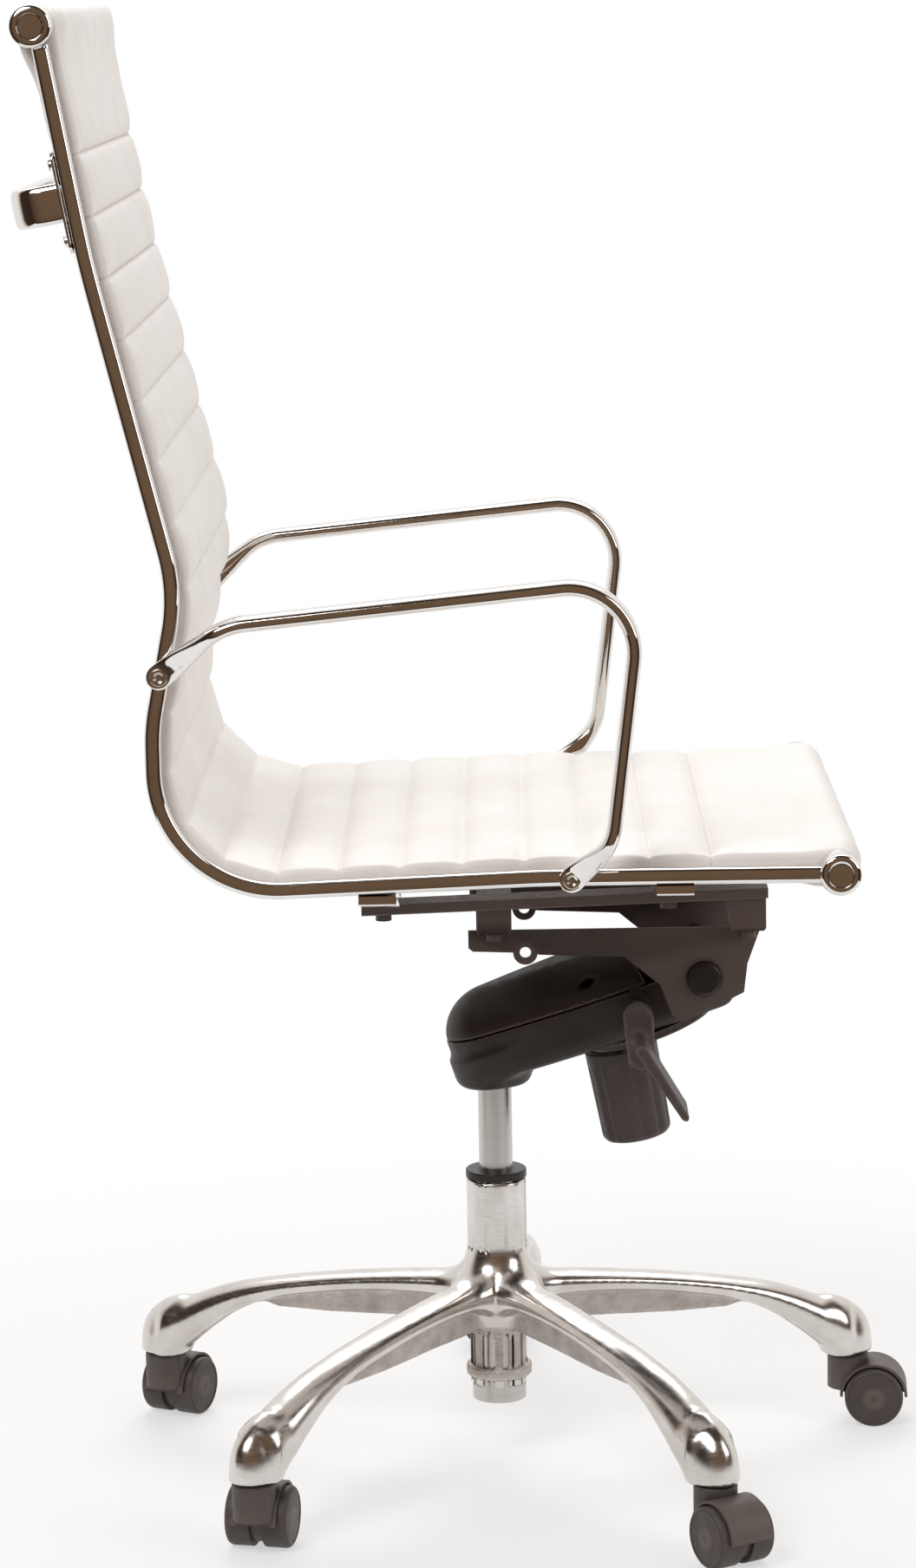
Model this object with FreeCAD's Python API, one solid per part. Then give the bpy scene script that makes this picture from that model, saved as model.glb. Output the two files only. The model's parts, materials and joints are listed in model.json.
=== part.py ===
import FreeCAD, Part
import math
import os

# High-backed swivel office chair.  Millimetres, +Z up, +X towards the sitter's knees.
# Everything is drawn about the swivel column (x = 0, y = 0, floor at z = 0) and moved
# at the end, so that the origin lies under the middle of the chair's footprint box.

V = FreeCAD.Vector

# ---------------------------------------------------------------- driving sizes
column_from_middle_x = 1.0     # where the column stands from the footprint's middle
column_from_middle_y = -21.0
run_gap = 0.05                 # radial clearance of every turning or sliding fit
soft_gap = 0.3                 # the upholstery stands this clear of the frame

# five-star base
leg_count = 5
leg_reach = 311.0              # column axis to caster stem axis
first_leg_deg = 15.1           # direction of the leg that points most to the front
foot_radius = 23.0
hub_radius = 25.0
hub_top = 243.0
web_thickness = 11.0
stem_radius = 5.5
stem_socket_depth = 26.0

# twin-wheel casters
wheel_radius = 25.0
foot_over_wheels = 12.0        # a foot's underside stands this clear above its wheels
wheel_width = 21.0
wheel_rim_round = 3.5
web_half = 4.6                 # half the thickness of the hood's middle web
wheel_side_gap = 0.6
trail = 22.0                   # stem axis to wheel axle
axle_radius = 4.0
hood_gap = 1.4                 # hood shell over the wheel tread
hood_shell = 2.4
hood_half = 19.0
hood_boss_radius = 17.5
caster_directions = (-4.0, 150.0, 63.0, 76.0, -58.0)

leg_floor = 2 * wheel_radius + foot_over_wheels
hub_bottom = leg_floor + 2.0
stem_bottom = leg_floor - 22.0  # how far the stems reach down into the hoods

# gas lift
cylinder_radius = 14.0
cylinder_bottom = 125.0
cylinder_top = 378.0
cylinder_bore = 12.2
column_radius = 22.5
column_bottom = 51.0
column_wall = 1.8
bush_top = hub_top + 6.5
bush_lip_radius = 25.4
guide_depth = 62.0
rod_radius = 5.0
rod_bottom = 56.0
piston_bottom = 196.0
piston_height = 14.0
pin_radius = 4.0
pin_length = 58.0
pin_rise = 10.0                # how far the release pin stands above the cylinder

# tilt mechanism, drawn in its own leaning frame (u forward, w up)
lean_deg = 19.0
rim_height = 374.0             # height of the casing's rim on the column axis
casing_depth = 41.0
casing_wall = 4.0
nose_radius = 42.0
casing_half = 60.0
casing_widest = 75.0
casing_front = 198.0
boss_radius = 29.0
boss_bottom = 323.0
socket_radius = 21.0
cover_front = 134.0
cover_height = 32.0
cover_inset = 17.0
cover_wall = 2.5
pivot_u = 180.5
pivot_w = -4.0
shaft_radius = 8.0
lug_radius = 13.0
shaft_head_radius = 14.6
shaft_head_height = 5.5
dish_radius = 56.0
dish_thickness = 7.0
dish_u = 122.0

# tension knob under the casing
knob_lean_deg = 10.0
knob_x = 105.5
knob_top = 353.0
knob_length = 78.0
knob_top_radius = 30.5
knob_bottom_radius = 28.6
knob_wall = 4.0
knob_floor = 14.0
knob_flutes = 18
tension_bolt_radius = 5.0
spring_wire = 2.4
spring_radius = 17.0
spring_turns = 5.5

# height and tilt-lock lever
lever_u = 120.0
lever_w = -12.0
lever_rod_radius = 5.0
lever_rod_end = -116.0
lever_arm_in = -104.0
lever_arm_width = 24.0
lever_arm_drop = 30.0
blade_thickness = 9.0
blade_tip_out = -164.0
blade_run = 38.0
blade_fall = 61.0
lever_bush_radius = 9.0
finger_thickness = 5.0

# seat carrier
plate_half = 89.0              # middle of each side plate from the chair's middle
plate_thickness = 3.0
plate_top = 471.3
plate_rear = -19.0
ear_x = 27.1
ear_z = 452.6
ear_radius = 10.0
ear_hole_radius = 4.6
block_half = 108.0
rear_block_x = 2.0
front_block_x = 207.0
block_length = 28.5
bar_thickness = 8.5
bar_inner = 82.0
bar_outer = 112.0
bar_rear = (-104.4, 488.9)     # lower rear corner of each bar
bar_front = (222.8, 498.6)     # lower front corner of each bar
block_bolt_y = 98.0
bolt_shank_radius = 4.0
bolt_head_radius = 6.5
bolt_head_height = 6.6

# side rails, cross rollers, sling
rail_half = 252.0
rail_thickness = 13.0
rail_width = 15.0
rail_corner = 3.0
roller_top = (-331.6, 1200.7)
roller_front = (270.0, 547.0)
roller_bar_radius = 9.5
roller_cap_radius = 16.0
roller_cap_out = rail_half + 16.0
sling_front_skin = 10.0        # sitter's side of the sling from the rail's middle line
sling_back_skin = 4.0
sling_loop_radius = 15.4
rail_route = (                 # corners of the rail's middle line, each with its bend radius
    (-326.0, 1186.0, 0.0),
    (-297.0, 1024.0, 800.0),
    (-236.0, 773.0, 140.0),
    (-257.0, 668.0, 150.0),
    (-257.0, 536.0, 95.0),
    (40.0, 546.5, 900.0),
    (262.0, 546.0, 0.0),
)

# spreaders between the rails
spreader_width = 29.0
spreader_thickness = 8.0
rear_spreader_x = -87.0
front_spreader_x = 143.0
spreader_pad_half = 122.0

# grab handle behind the head
handle_height = 30.0
handle_bar = 12.0
handle_reach = 41.0
handle_bend = 18.0
handle_middle_z = 1071.0
handle_y = rail_half
flange_length = 78.0
flange_width = 14.0
flange_thickness = 3.0
handle_screw_offset = 29.0

# armrests
arm_half = rail_half + 29.0
arm_thickness = 12.0
arm_width = 28.0
arm_corner = 4.5
tab_radius = 10.0
tab_thickness = 6.0
arm_rear_bolt = (-250.0, 709.0)
arm_front_bolt = (63.3, 546.3)
arm_route = (                  # corners of the armrest's middle line, each with its bend radius
    (-199.0, 750.2, 55.0),
    (119.8, 781.0, 50.0),
    (94.5, 577.0, 45.0),
)
arm_bolt_head_radius = 6.8

parts = {}


# ---------------------------------------------------------------- shape helpers
def cylinder(radius, start, end):
    """Round bar from start to end."""
    axis = end.sub(start)
    return Part.makeCylinder(radius, axis.Length, start, axis)


def upright(radius, low, high, x=0.0, y=0.0):
    return Part.makeCylinder(radius, high - low, V(x, y, low))


def across(radius, x, z, y_from, y_to):
    """Round bar along Y."""
    return Part.makeCylinder(radius, y_to - y_from, V(x, y_from, z), V(0, 1, 0))


def box(x_from, x_to, y_from, y_to, z_from, z_to):
    size = (x_to - x_from, y_to - y_from, z_to - z_from)
    return Part.makeBox(size[0], size[1], size[2], V(x_from, y_from, z_from))


def rounded_path(corners):
    """Lines joined by tangent arcs; corners are (point, radius), the ends have radius 0."""
    edges = []
    here = corners[0][0]
    for index in range(1, len(corners) - 1):
        point, radius = corners[index]
        before = corners[index - 1][0].sub(point)
        after = corners[index + 1][0].sub(point)
        before.normalize()
        after.normalize()
        half_turn = (math.pi - before.getAngle(after)) / 2
        tangent = radius * math.tan(half_turn)
        start = point + before * tangent
        end = point + after * tangent
        bisector = before + after
        bisector.normalize()
        centre = point + bisector * (radius / math.cos(half_turn))
        middle = centre - bisector * radius
        if here.distanceToPoint(start) > 1e-6:
            edges.append(Part.makeLine(here, start))
        edges.append(Part.Arc(start, middle, end).toShape())
        here = end
    edges.append(Part.makeLine(here, corners[-1][0]))
    return edges


def offset_corners(route, distance):
    """The route in the XZ plane moved to its left by distance, bends kept concentric."""
    count = len(route)
    heads = []
    for index in range(count - 1):
        step = V(route[index + 1][0] - route[index][0], 0, route[index + 1][1] - route[index][1])
        step.normalize()
        heads.append(step)
    moved = []
    for index in range(count):
        point = V(route[index][0], 0, route[index][1])
        ahead = heads[min(index, count - 2)]
        behind = heads[max(index - 1, 0)]
        left_ahead = V(-ahead.z, 0, ahead.x)
        left_behind = V(-behind.z, 0, behind.x)
        mitre = left_ahead + left_behind
        mitre.normalize()
        shift = distance / mitre.dot(left_ahead)
        turns_left = behind.x * ahead.z - behind.z * ahead.x > 0
        radius = route[index][2]
        if 0 < index < count - 1:
            radius = radius - distance if turns_left else radius + distance
        moved.append((point + mitre * shift, radius))
    return moved


def band(route, left, right, y_from, y_to):
    """Strip of constant thickness along a route in the XZ plane, standing across Y."""
    upper = offset_corners(route, left)
    lower = offset_corners(route, -right)
    edges = rounded_path(upper)
    edges.append(Part.makeLine(upper[-1][0], lower[-1][0]))
    edges += rounded_path(lower)
    edges.append(Part.makeLine(lower[0][0], upper[0][0]))
    outline = Part.Wire(Part.__sortEdges__(edges))
    strip = Part.Face(outline).extrude(V(0, y_to - y_from, 0))
    strip.translate(V(0, y_from, 0))
    return strip


def rounded_rectangle(centre, across_dir, up_dir, width, height, corner):
    """Rectangular wire with round corners about centre."""
    a = across_dir * (width / 2)
    b = up_dir * (height / 2)
    points = [centre + a + b, centre - a + b, centre - a - b, centre + a - b]
    edges = []
    for index in range(4):
        here = points[index]
        after = points[(index + 1) % 4]
        before = points[index - 1]
        out = (after - here).normalize()
        back = (before - here).normalize()
        inside = here + (out + back) * corner
        arc_middle = inside - (out + back).normalize() * corner
        edges.append(Part.Arc(here + back * corner, arc_middle, here + out * corner).toShape())
        ahead = after + (here - after).normalize() * corner
        edges.append(Part.makeLine(here + out * corner, ahead))
    return Part.Wire(edges)


def prism(points, y_from, y_to):
    """Straight-sided outline of (x, z) points standing across Y."""
    wire = Part.makePolygon([V(x, y_from, z) for x, z in points] + [V(points[0][0], y_from, points[0][1])])
    return Part.Face(wire).extrude(V(0, y_to - y_from, 0))


def rounded_edges(shape, radius, wanted):
    """Fillet the edges that the test picks."""
    return shape.makeFillet(radius, [edge for edge in shape.Edges if wanted(edge)])


def runs_along(edge, direction):
    """True for a straight edge along the direction."""
    if not isinstance(edge.Curve, Part.Line):
        return False
    return abs(edge.tangentAt(edge.FirstParameter).dot(direction)) > 0.999


def both_sides(shape):
    """The shape and its mirror image across the chair's middle plane."""
    return shape, shape.mirror(V(0, 0, 0), V(0, 1, 0))


def leaning(shape):
    """From the mechanism's own frame to the chair's."""
    placed = shape.copy()
    placed.Placement = FreeCAD.Placement(V(0, 0, rim_height), FreeCAD.Rotation(V(0, 1, 0), -lean_deg))
    return placed


def lean_point(u, w):
    """A point of the mechanism's frame, in the chair's frame."""
    angle = math.radians(lean_deg)
    return V(u * math.cos(angle) - w * math.sin(angle), 0,
             rim_height + u * math.sin(angle) + w * math.cos(angle))


def line_height(start, end, x):
    """Height of the line through two (x, z) points."""
    return start[1] + (end[1] - start[1]) * (x - start[0]) / (end[0] - start[0])


# ---------------------------------------------------------------- five-star base
def leg_section(reach, top, bottom, half):
    """Arched cross-section of a leg: rounded crown, near-upright sides, flat underside."""
    shoulder = top - min(half * 0.75, (top - bottom) * 0.6)
    crown = Part.Arc(V(reach, half * 0.93, shoulder), V(reach, 0, top), V(reach, -half * 0.93, shoulder))
    corners = [V(reach, -half * 0.93, shoulder), V(reach, -half, bottom),
               V(reach, half, bottom), V(reach, half * 0.93, shoulder)]
    sides = [Part.makeLine(corners[i], corners[i + 1]) for i in range(3)]
    return Part.Wire([crown.toShape()] + sides)


def base_leg():
    """One leg along +X: polished crown that turns down into the foot, cast web below."""
    stations = (                   # reach, crown and underside above the feet, half-width
        (16.0, 96.0, 76.0, 17.0),
        (60.0, 93.0, 78.0, 15.5),
        (116.0, 87.5, 75.5, 14.0),
        (163.0, 80.5, 68.5, 14.0),
        (206.0, 73.5, 59.5, 15.0),
        (240.0, 67.0, 45.0, 17.0),
        (265.0, 60.5, 27.0, 19.5),
        (288.0, 51.0, 8.0, 21.5),
        (300.0, 43.0, 2.0, 22.0),
    )
    reach_scale = leg_reach / 311.0
    sections = [leg_section(reach * reach_scale, leg_floor + top, leg_floor + bottom, half)
                for reach, top, bottom, half in stations]
    crown = Part.makeLoft(sections, True, False)
    dome_height = 45.0
    dome_profile = Part.Wire([
        Part.makeLine(V(0, 0, leg_floor), V(foot_radius - 1.5, 0, leg_floor)),
        Part.makeLine(V(foot_radius - 1.5, 0, leg_floor), V(foot_radius, 0, leg_floor + 1.5)),
        Part.Arc(V(foot_radius, 0, leg_floor + 1.5), V(foot_radius * 0.74, 0, leg_floor + dome_height * 0.69),
                 V(0, 0, leg_floor + dome_height)).toShape(),
        Part.makeLine(V(0, 0, leg_floor + dome_height), V(0, 0, leg_floor)),
    ])
    foot = Part.Face(dome_profile).revolve(V(0, 0, 0), V(0, 0, 1), 360)
    foot.translate(V(leg_reach, 0, 0))
    web_outline = ((15.0, 54.0), (87.0, 52.0), (154.0, 49.0), (201.0, 49.0), (236.0, 50.0),
                   (236.0, 62.0), (200.0, 68.0), (110.0, 81.0), (15.0, 84.0))
    web = prism([(x, leg_floor + z) for x, z in web_outline], -web_thickness / 2, web_thickness / 2)
    stretched = FreeCAD.Matrix()
    stretched.scale(reach_scale, 1, 1)
    web = web.transformGeometry(stretched)
    return crown.fuse(foot).fuse(web)


def leg_angles():
    return [first_leg_deg + index * 360.0 / leg_count for index in range(leg_count)]


def foot_place(angle_deg):
    angle = math.radians(angle_deg)
    return V(leg_reach * math.cos(angle), leg_reach * math.sin(angle), 0)


def make_base():
    leg = base_leg()
    boss_top = leg_floor + 42.0
    star = upright(hub_radius, boss_top, hub_top)
    star = star.fuse(Part.makeCone(hub_radius + 9.0, hub_radius, 26.0, V(0, 0, leg_floor + 76.0)))
    star = star.fuse(upright(hub_radius - 1.0, hub_bottom, boss_top + 2.0))
    star = star.fuse(upright(hub_radius + 2.5, hub_bottom + 4.0, hub_bottom + 12.0))
    for angle in leg_angles():
        turned = leg.copy()
        turned.rotate(V(0, 0, 0), V(0, 0, 1), angle)
        star = star.fuse(turned)
    star = star.cut(upright(column_radius, hub_bottom - 1.0, hub_top + 1.0))
    for angle in leg_angles():
        place = foot_place(angle)
        star = star.cut(upright(stem_radius, leg_floor - 1.0, leg_floor + stem_socket_depth, place.x, place.y))
    parts["base_star"] = star

    tube = upright(column_radius, column_bottom, hub_top)
    inside = upright(column_radius - column_wall, column_bottom + 2.0, hub_top + 1.0)
    parts["column_tube"] = tube.cut(inside).cut(upright(rod_radius + run_gap, column_bottom - 1.0, column_bottom + 3.0))

    guide = upright(column_radius - column_wall, bush_top - guide_depth, hub_top)
    lip = upright(bush_lip_radius, hub_top, bush_top)
    lip = rounded_edges(lip, 1.5, lambda edge: edge.BoundBox.ZMin > bush_top - 0.1)
    parts["column_bush"] = guide.fuse(lip).cut(upright(cylinder_radius + run_gap, 100.0, bush_top + 1.0))


def make_gas_rod():
    """Rod that stands on the column's bottom, with its bearing and clip: turns with the seat."""
    rod = upright(rod_radius, rod_bottom - 8.0, piston_bottom)
    piston = upright(cylinder_bore - run_gap, piston_bottom, piston_bottom + piston_height)
    parts["piston_rod"] = rod.fuse(piston)
    floor = column_bottom + 2.0
    bearing = upright(12.5, floor, floor + 5.0).cut(upright(rod_radius, floor - 1.0, floor + 6.0))
    parts["thrust_bearing"] = bearing
    clip_top = column_bottom - 0.3
    clip = upright(8.0, clip_top - 1.5, clip_top).cut(upright(rod_radius, clip_top - 2.0, clip_top + 1.0))
    slot = box(0, 10.0, -2.0, 2.0, clip_top - 3.0, clip_top + 1.0)
    parts["retaining_clip"] = clip.cut(slot)


# ---------------------------------------------------------------- casters
def make_caster(number, angle_deg, direction_deg):
    """Twin-wheel caster trailing towards +X, then turned to its direction under its foot."""
    hood_top = leg_floor - 2.0
    boss = upright(hood_boss_radius, wheel_radius + 5.0, hood_top)
    boss = rounded_edges(boss, 2.0, lambda edge: edge.BoundBox.ZMin > hood_top - 0.1)
    outer = wheel_radius + hood_gap + hood_shell
    cap = across(outer, trail, wheel_radius, -hood_half, hood_half)
    cap = cap.common(box(trail - outer, trail + outer, -30.0, 30.0, wheel_radius, 80.0))
    web = across(wheel_radius - 4.0, trail, wheel_radius, -web_half, web_half)
    envelope = wheel_radius + hood_gap
    wheel_room = across(envelope, trail, wheel_radius, web_half, 40.0)
    wheel_room = wheel_room.fuse(across(envelope, trail, wheel_radius, -40.0, -web_half))
    hood = boss.fuse(cap).cut(wheel_room).fuse(web)
    hood = hood.cut(across(axle_radius, trail, wheel_radius, -30.0, 30.0))
    hood = hood.cut(upright(stem_radius + run_gap, stem_bottom - 0.5, hood_top + 1.0))

    wheel_in = web_half + wheel_side_gap
    wheel_out = wheel_in + wheel_width
    wheel = across(wheel_radius, trail, wheel_radius, wheel_in, wheel_out)
    wheel = rounded_edges(wheel, wheel_rim_round, lambda edge: edge.BoundBox.YMin > wheel_out - 0.1)
    recess = across(wheel_radius - 6.0, trail, wheel_radius, wheel_in - 1.0, wheel_in + 8.0)
    recess = recess.cut(across(axle_radius + 4.0, trail, wheel_radius, wheel_in - 2.0, wheel_in + 9.0))
    axle_end = wheel_out - 4.0
    wheel = wheel.cut(recess)
    wheel = wheel.cut(across(axle_radius + run_gap, trail, wheel_radius, wheel_in - 1.0, axle_end + 0.5))
    wheel_b, wheel_a = both_sides(wheel)

    pieces = {
        "hood": hood,
        "axle": across(axle_radius, trail, wheel_radius, -axle_end, axle_end),
        "wheel_a": wheel_a,
        "wheel_b": wheel_b,
    }
    place = foot_place(angle_deg)
    for name, piece in pieces.items():
        piece.rotate(V(0, 0, 0), V(0, 0, 1), direction_deg)
        piece.translate(place)
        parts["caster_%d_%s" % (number, name)] = piece


def make_stems():
    """Steel stems pressed into the feet; the hoods turn on them."""
    stems = []
    for angle in leg_angles():
        place = foot_place(angle)
        pin = upright(stem_radius, stem_bottom, leg_floor + stem_socket_depth - 0.5, place.x, place.y)
        collar = upright(stem_radius + 4.0, leg_floor - 1.7, leg_floor, place.x, place.y)
        stems.append(pin.fuse(collar))
    parts["caster_stems"] = Part.makeCompound(stems)


# ---------------------------------------------------------------- lift and mechanism
def make_cylinder():
    tube = upright(cylinder_radius, cylinder_bottom, cylinder_top)
    bore = upright(cylinder_bore, cylinder_bottom + 6.0, cylinder_top - 45.0)
    rod_hole = upright(rod_radius + run_gap, cylinder_bottom - 1.0, cylinder_bottom + 7.0)
    pin_hole = upright(pin_radius + run_gap, cylinder_top - 50.0, cylinder_top + 1.0)
    parts["gas_cylinder"] = tube.cut(bore).cut(rod_hole).cut(pin_hole)
    pin_top = cylinder_top + pin_rise
    parts["release_pin"] = upright(pin_radius, pin_top - pin_length, pin_top)


def casing_plan(inset, front, w_level):
    """Plan outline of the casing in the mechanism's frame: round nose, widening sides."""
    nose = nose_radius - inset
    side = casing_half - inset
    end = front
    spread = math.atan2(casing_half - nose_radius, casing_widest)
    touch = V(-nose * math.sin(spread), nose * math.cos(spread), w_level)
    touch_far = V(touch.x, -touch.y, w_level)
    edges = [
        Part.Arc(touch_far, V(-nose, 0, w_level), touch).toShape(),
        Part.makeLine(touch, V(casing_widest, side, w_level)),
        Part.makeLine(V(casing_widest, side, w_level), V(end, side, w_level)),
        Part.makeLine(V(end, side, w_level), V(end, -side, w_level)),
        Part.makeLine(V(end, -side, w_level), V(casing_widest, -side, w_level)),
        Part.makeLine(V(casing_widest, -side, w_level), touch_far),
    ]
    return Part.Wire(edges)


def lever_axis():
    return lean_point(lever_u, lever_w)


def pivot_axis():
    return lean_point(pivot_u, pivot_w)


def knob_axis():
    """Top point of the tension knob's axis and its direction, downwards."""
    angle = math.radians(knob_lean_deg)
    return V(knob_x, 0, knob_top), V(math.sin(angle), 0, -math.cos(angle))


def make_casing():
    tray = Part.Face(casing_plan(0.0, casing_front, -casing_depth)).extrude(V(0, 0, casing_depth))
    tray = rounded_edges(tray, 5.0, lambda edge: edge.BoundBox.ZMax < -casing_depth + 0.1)
    hollow = Part.Face(casing_plan(casing_wall, casing_front - casing_wall, -casing_depth + casing_wall))
    hollow = hollow.extrude(V(0, 0, casing_depth))
    lug_out = casing_half
    lug = across(lug_radius, pivot_u, pivot_w, lug_out - casing_wall - 6.0, lug_out)
    lug_far, lug_near = both_sides(lug)
    tray = leaning(tray.cut(hollow).fuse(lug_far).fuse(lug_near))

    nose = Part.makeCone(boss_radius, nose_radius, 43.0, V(0, 0, boss_bottom))
    nose = rounded_edges(nose, 3.0, lambda edge: edge.BoundBox.ZMax < boss_bottom + 0.1)
    under_rim = leaning(box(-80.0, 120.0, -80.0, 80.0, -120.0, -casing_depth + casing_wall))
    nose = nose.common(under_rim)
    socket = upright(socket_radius, boss_bottom + 4.0, cylinder_top - 2.0)
    casing = tray.fuse(nose).fuse(socket)
    casing = casing.cut(upright(cylinder_radius, boss_bottom - 5.0, cylinder_top + 5.0))

    pivot = pivot_axis()
    casing = casing.cut(across(shaft_radius + run_gap, pivot.x, pivot.z, -80.0, 80.0))
    lever = lever_axis()
    casing = casing.cut(across(lever_bush_radius + run_gap, lever.x, lever.z, -80.0, 0.0))
    top, down = knob_axis()
    casing = casing.cut(cylinder(tension_bolt_radius, top - down * 60.0, top + down * 10.0))
    parts["mechanism_casing"] = casing

    low = casing_plan(0.0, cover_front, 0.0)
    high = casing_plan(cover_inset, cover_front - cover_inset / 2, cover_height)
    shell = Part.makeLoft([low, high], True, True)
    low_in = casing_plan(cover_wall, cover_front + 1.0, -0.01)
    high_in = casing_plan(cover_inset + cover_wall, cover_front + 1.0, cover_height - cover_wall)
    shell = rounded_edges(shell, 6.0, lambda edge: edge.BoundBox.ZMin > cover_height - 0.1
                          and edge.BoundBox.XMin < cover_front - cover_inset / 2 - 1.0)
    shell = shell.cut(Part.makeLoft([low_in, high_in], True, True))
    recess = cylinder(5.0, V(84.0, -30.0, 10.0), V(84.0, -60.0, 22.0))
    parts["mechanism_cover"] = leaning(shell.cut(recess))

    dish = Part.makeCylinder(dish_radius, dish_thickness, V(dish_u, 0, -casing_depth - dish_thickness))
    dish = rounded_edges(dish, 4.0, lambda edge: edge.BoundBox.ZMax < -casing_depth - dish_thickness + 0.1)
    dish = leaning(dish).cut(cylinder(tension_bolt_radius, top - down * 60.0, top + down * 10.0))
    parts["spring_dish"] = dish


def make_tension():
    """Knob with its bolt and the spring inside it."""
    top, down = knob_axis()
    bolt_end = top + down * (knob_length - 1.5)
    floor_in_tray = -casing_depth + casing_wall
    head_under = lean_point(dish_u, floor_in_tray).z - (dish_u - knob_x) * math.tan(math.radians(lean_deg))
    rise = (head_under - top.z) / -down.z
    head_start = top + down * (-abs(rise) - 1.0)
    shank = cylinder(tension_bolt_radius, head_start, bolt_end)
    head = cylinder(9.0, head_start - down * 6.0, head_start)
    parts["tension_bolt"] = shank.fuse(head)

    outer = Part.makeCone(knob_top_radius, knob_bottom_radius, knob_length, top, down)
    outer = rounded_edges(outer, 3.0, lambda edge: edge.Curve.TypeId == "Part::GeomCircle"
                          and edge.Curve.Center.distanceToPoint(top) > knob_length - 1.0)
    side = V(0, 1, 0)
    for index in range(knob_flutes):
        turn = FreeCAD.Rotation(down, index * 360.0 / knob_flutes)
        spoke = turn.multVec(side)
        start = top + spoke * (knob_top_radius + 4.2) - down * 1.0
        end = top + spoke * (knob_bottom_radius + 4.2) + down * (knob_length + 1.0)
        outer = outer.cut(cylinder(5.0, start, end))
    cup = cylinder(knob_top_radius - knob_wall - 2.0, top - down * 1.0, top + down * (knob_length - knob_floor))
    bore = cylinder(tension_bolt_radius + run_gap, top, top + down * (knob_length + 1.0))
    parts["tension_knob"] = outer.cut(cup).cut(bore)

    high = -3.0 + spring_wire                            # just under the dish
    low = knob_length - knob_floor - soft_gap - spring_wire
    pitch = (low - high) / spring_turns
    helix = Part.makeHelix(pitch, pitch * spring_turns, spring_radius)
    start = V(spring_radius, 0, 0)
    section = Part.Wire(Part.makeCircle(spring_wire, start, V(0, 1, pitch / (2 * math.pi * spring_radius))))
    coil = Part.Wire(helix).makePipeShell([section], True, True)
    place = FreeCAD.Placement(top + down * high, FreeCAD.Rotation(V(0, 0, 1), down))
    coil.Placement = place
    parts["tension_spring"] = coil


def make_lever():
    axis = lever_axis()
    rod = across(lever_rod_radius, axis.x, axis.z, lever_rod_end, 6.0)
    finger_low = cylinder_top + pin_rise + 0.3
    pad = box(-9.0, 9.0, -6.0, 17.0, finger_low, finger_low + finger_thickness)
    half = finger_thickness / 2
    finger = prism([(6.0, finger_low), (axis.x, axis.z - half), (axis.x, axis.z + half),
                    (6.0, finger_low + finger_thickness)], -6.0, 6.0)
    parts["lever_rod"] = rod.fuse(pad).fuse(finger)

    sleeve = across(lever_bush_radius, axis.x, axis.z, -casing_half - 0.3, -casing_half + 16.0)
    flange = across(lever_bush_radius + 2.5, axis.x, axis.z, -casing_half - 4.3, -casing_half - 0.3)
    parts["lever_bush"] = sleeve.fuse(flange).cut(
        across(lever_rod_radius + run_gap, axis.x, axis.z, -80.0, 0.0))

    round_top = lever_arm_width / 2
    foot_z = axis.z - lever_arm_drop
    arm_out = lever_rod_end - 4.0
    arm = across(round_top, axis.x, axis.z, arm_out, lever_arm_in)
    arm = arm.fuse(box(axis.x - round_top, axis.x + round_top, arm_out, lever_arm_in, foot_z, axis.z))
    arm = arm.fuse(across(round_top, axis.x, foot_z, arm_out, lever_arm_in))
    run = V(blade_run, 0, -blade_fall)
    run.normalize()
    start = V(axis.x, 0, axis.z - 12.0)
    tip = start + V(blade_run, 0, -blade_fall)
    normal = V(-run.z, 0, run.x) * (blade_thickness / 2)
    outline = [start + normal, tip + normal * 0.6, tip - normal * 0.6, start - normal]
    blade = prism([(p.x, p.z) for p in outline], blade_tip_out, arm_out + 6.0)
    blade = rounded_edges(blade, 2.4, lambda edge: edge.BoundBox.ZMax < tip.z + 4.0)
    root = across(blade_thickness / 2, start.x, start.z, blade_tip_out, arm_out + 6.0)
    paddle = arm.fuse(blade).fuse(root)
    parts["lever_paddle"] = paddle.cut(across(lever_rod_radius, axis.x, axis.z, lever_rod_end, -90.0))


# ---------------------------------------------------------------- seat carrier
def make_shaft():
    pivot = pivot_axis()
    plate_face = plate_half + plate_thickness / 2
    shaft = across(shaft_radius, pivot.x, pivot.z, -plate_face, plate_face)
    heads = []
    for side in (-1, 1):
        start = V(pivot.x, side * plate_face, pivot.z)
        head = Part.makeCylinder(shaft_head_radius, shaft_head_height, start, V(0, side, 0))
        outer_face = plate_face + shaft_head_height - 0.1
        head = rounded_edges(head, 4.0, lambda edge: abs(edge.BoundBox.Center.y) > outer_face)
        heads.append(head)
    parts["tilt_shaft"] = shaft.fuse(heads[0]).fuse(heads[1])


def make_plates():
    pivot = pivot_axis()
    outline = [
        (plate_rear, plate_top), (plate_rear, 457.0), (-15.5, 454.0), (ear_x - 12.0, 452.8), (ear_x, ear_z),
        (ear_x + 12.0, 450.6), (107.5, 447.7), (136.0, 424.0), (146.0, 398.0), (158.0, 394.0),
        (204.0, 417.0), (207.0, 441.0), (218.0, plate_top),
    ]
    inner = plate_half - plate_thickness / 2
    outer = plate_half + plate_thickness / 2
    plate = prism(outline, inner, outer)
    plate = plate.fuse(across(ear_radius, ear_x, ear_z, inner, outer))
    plate = plate.cut(across(ear_hole_radius, ear_x, ear_z, 0.0, 120.0))
    plate = plate.cut(across(shaft_radius, pivot.x, pivot.z, 0.0, 120.0))
    parts["side_plate_left"], parts["side_plate_right"] = both_sides(plate)


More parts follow.
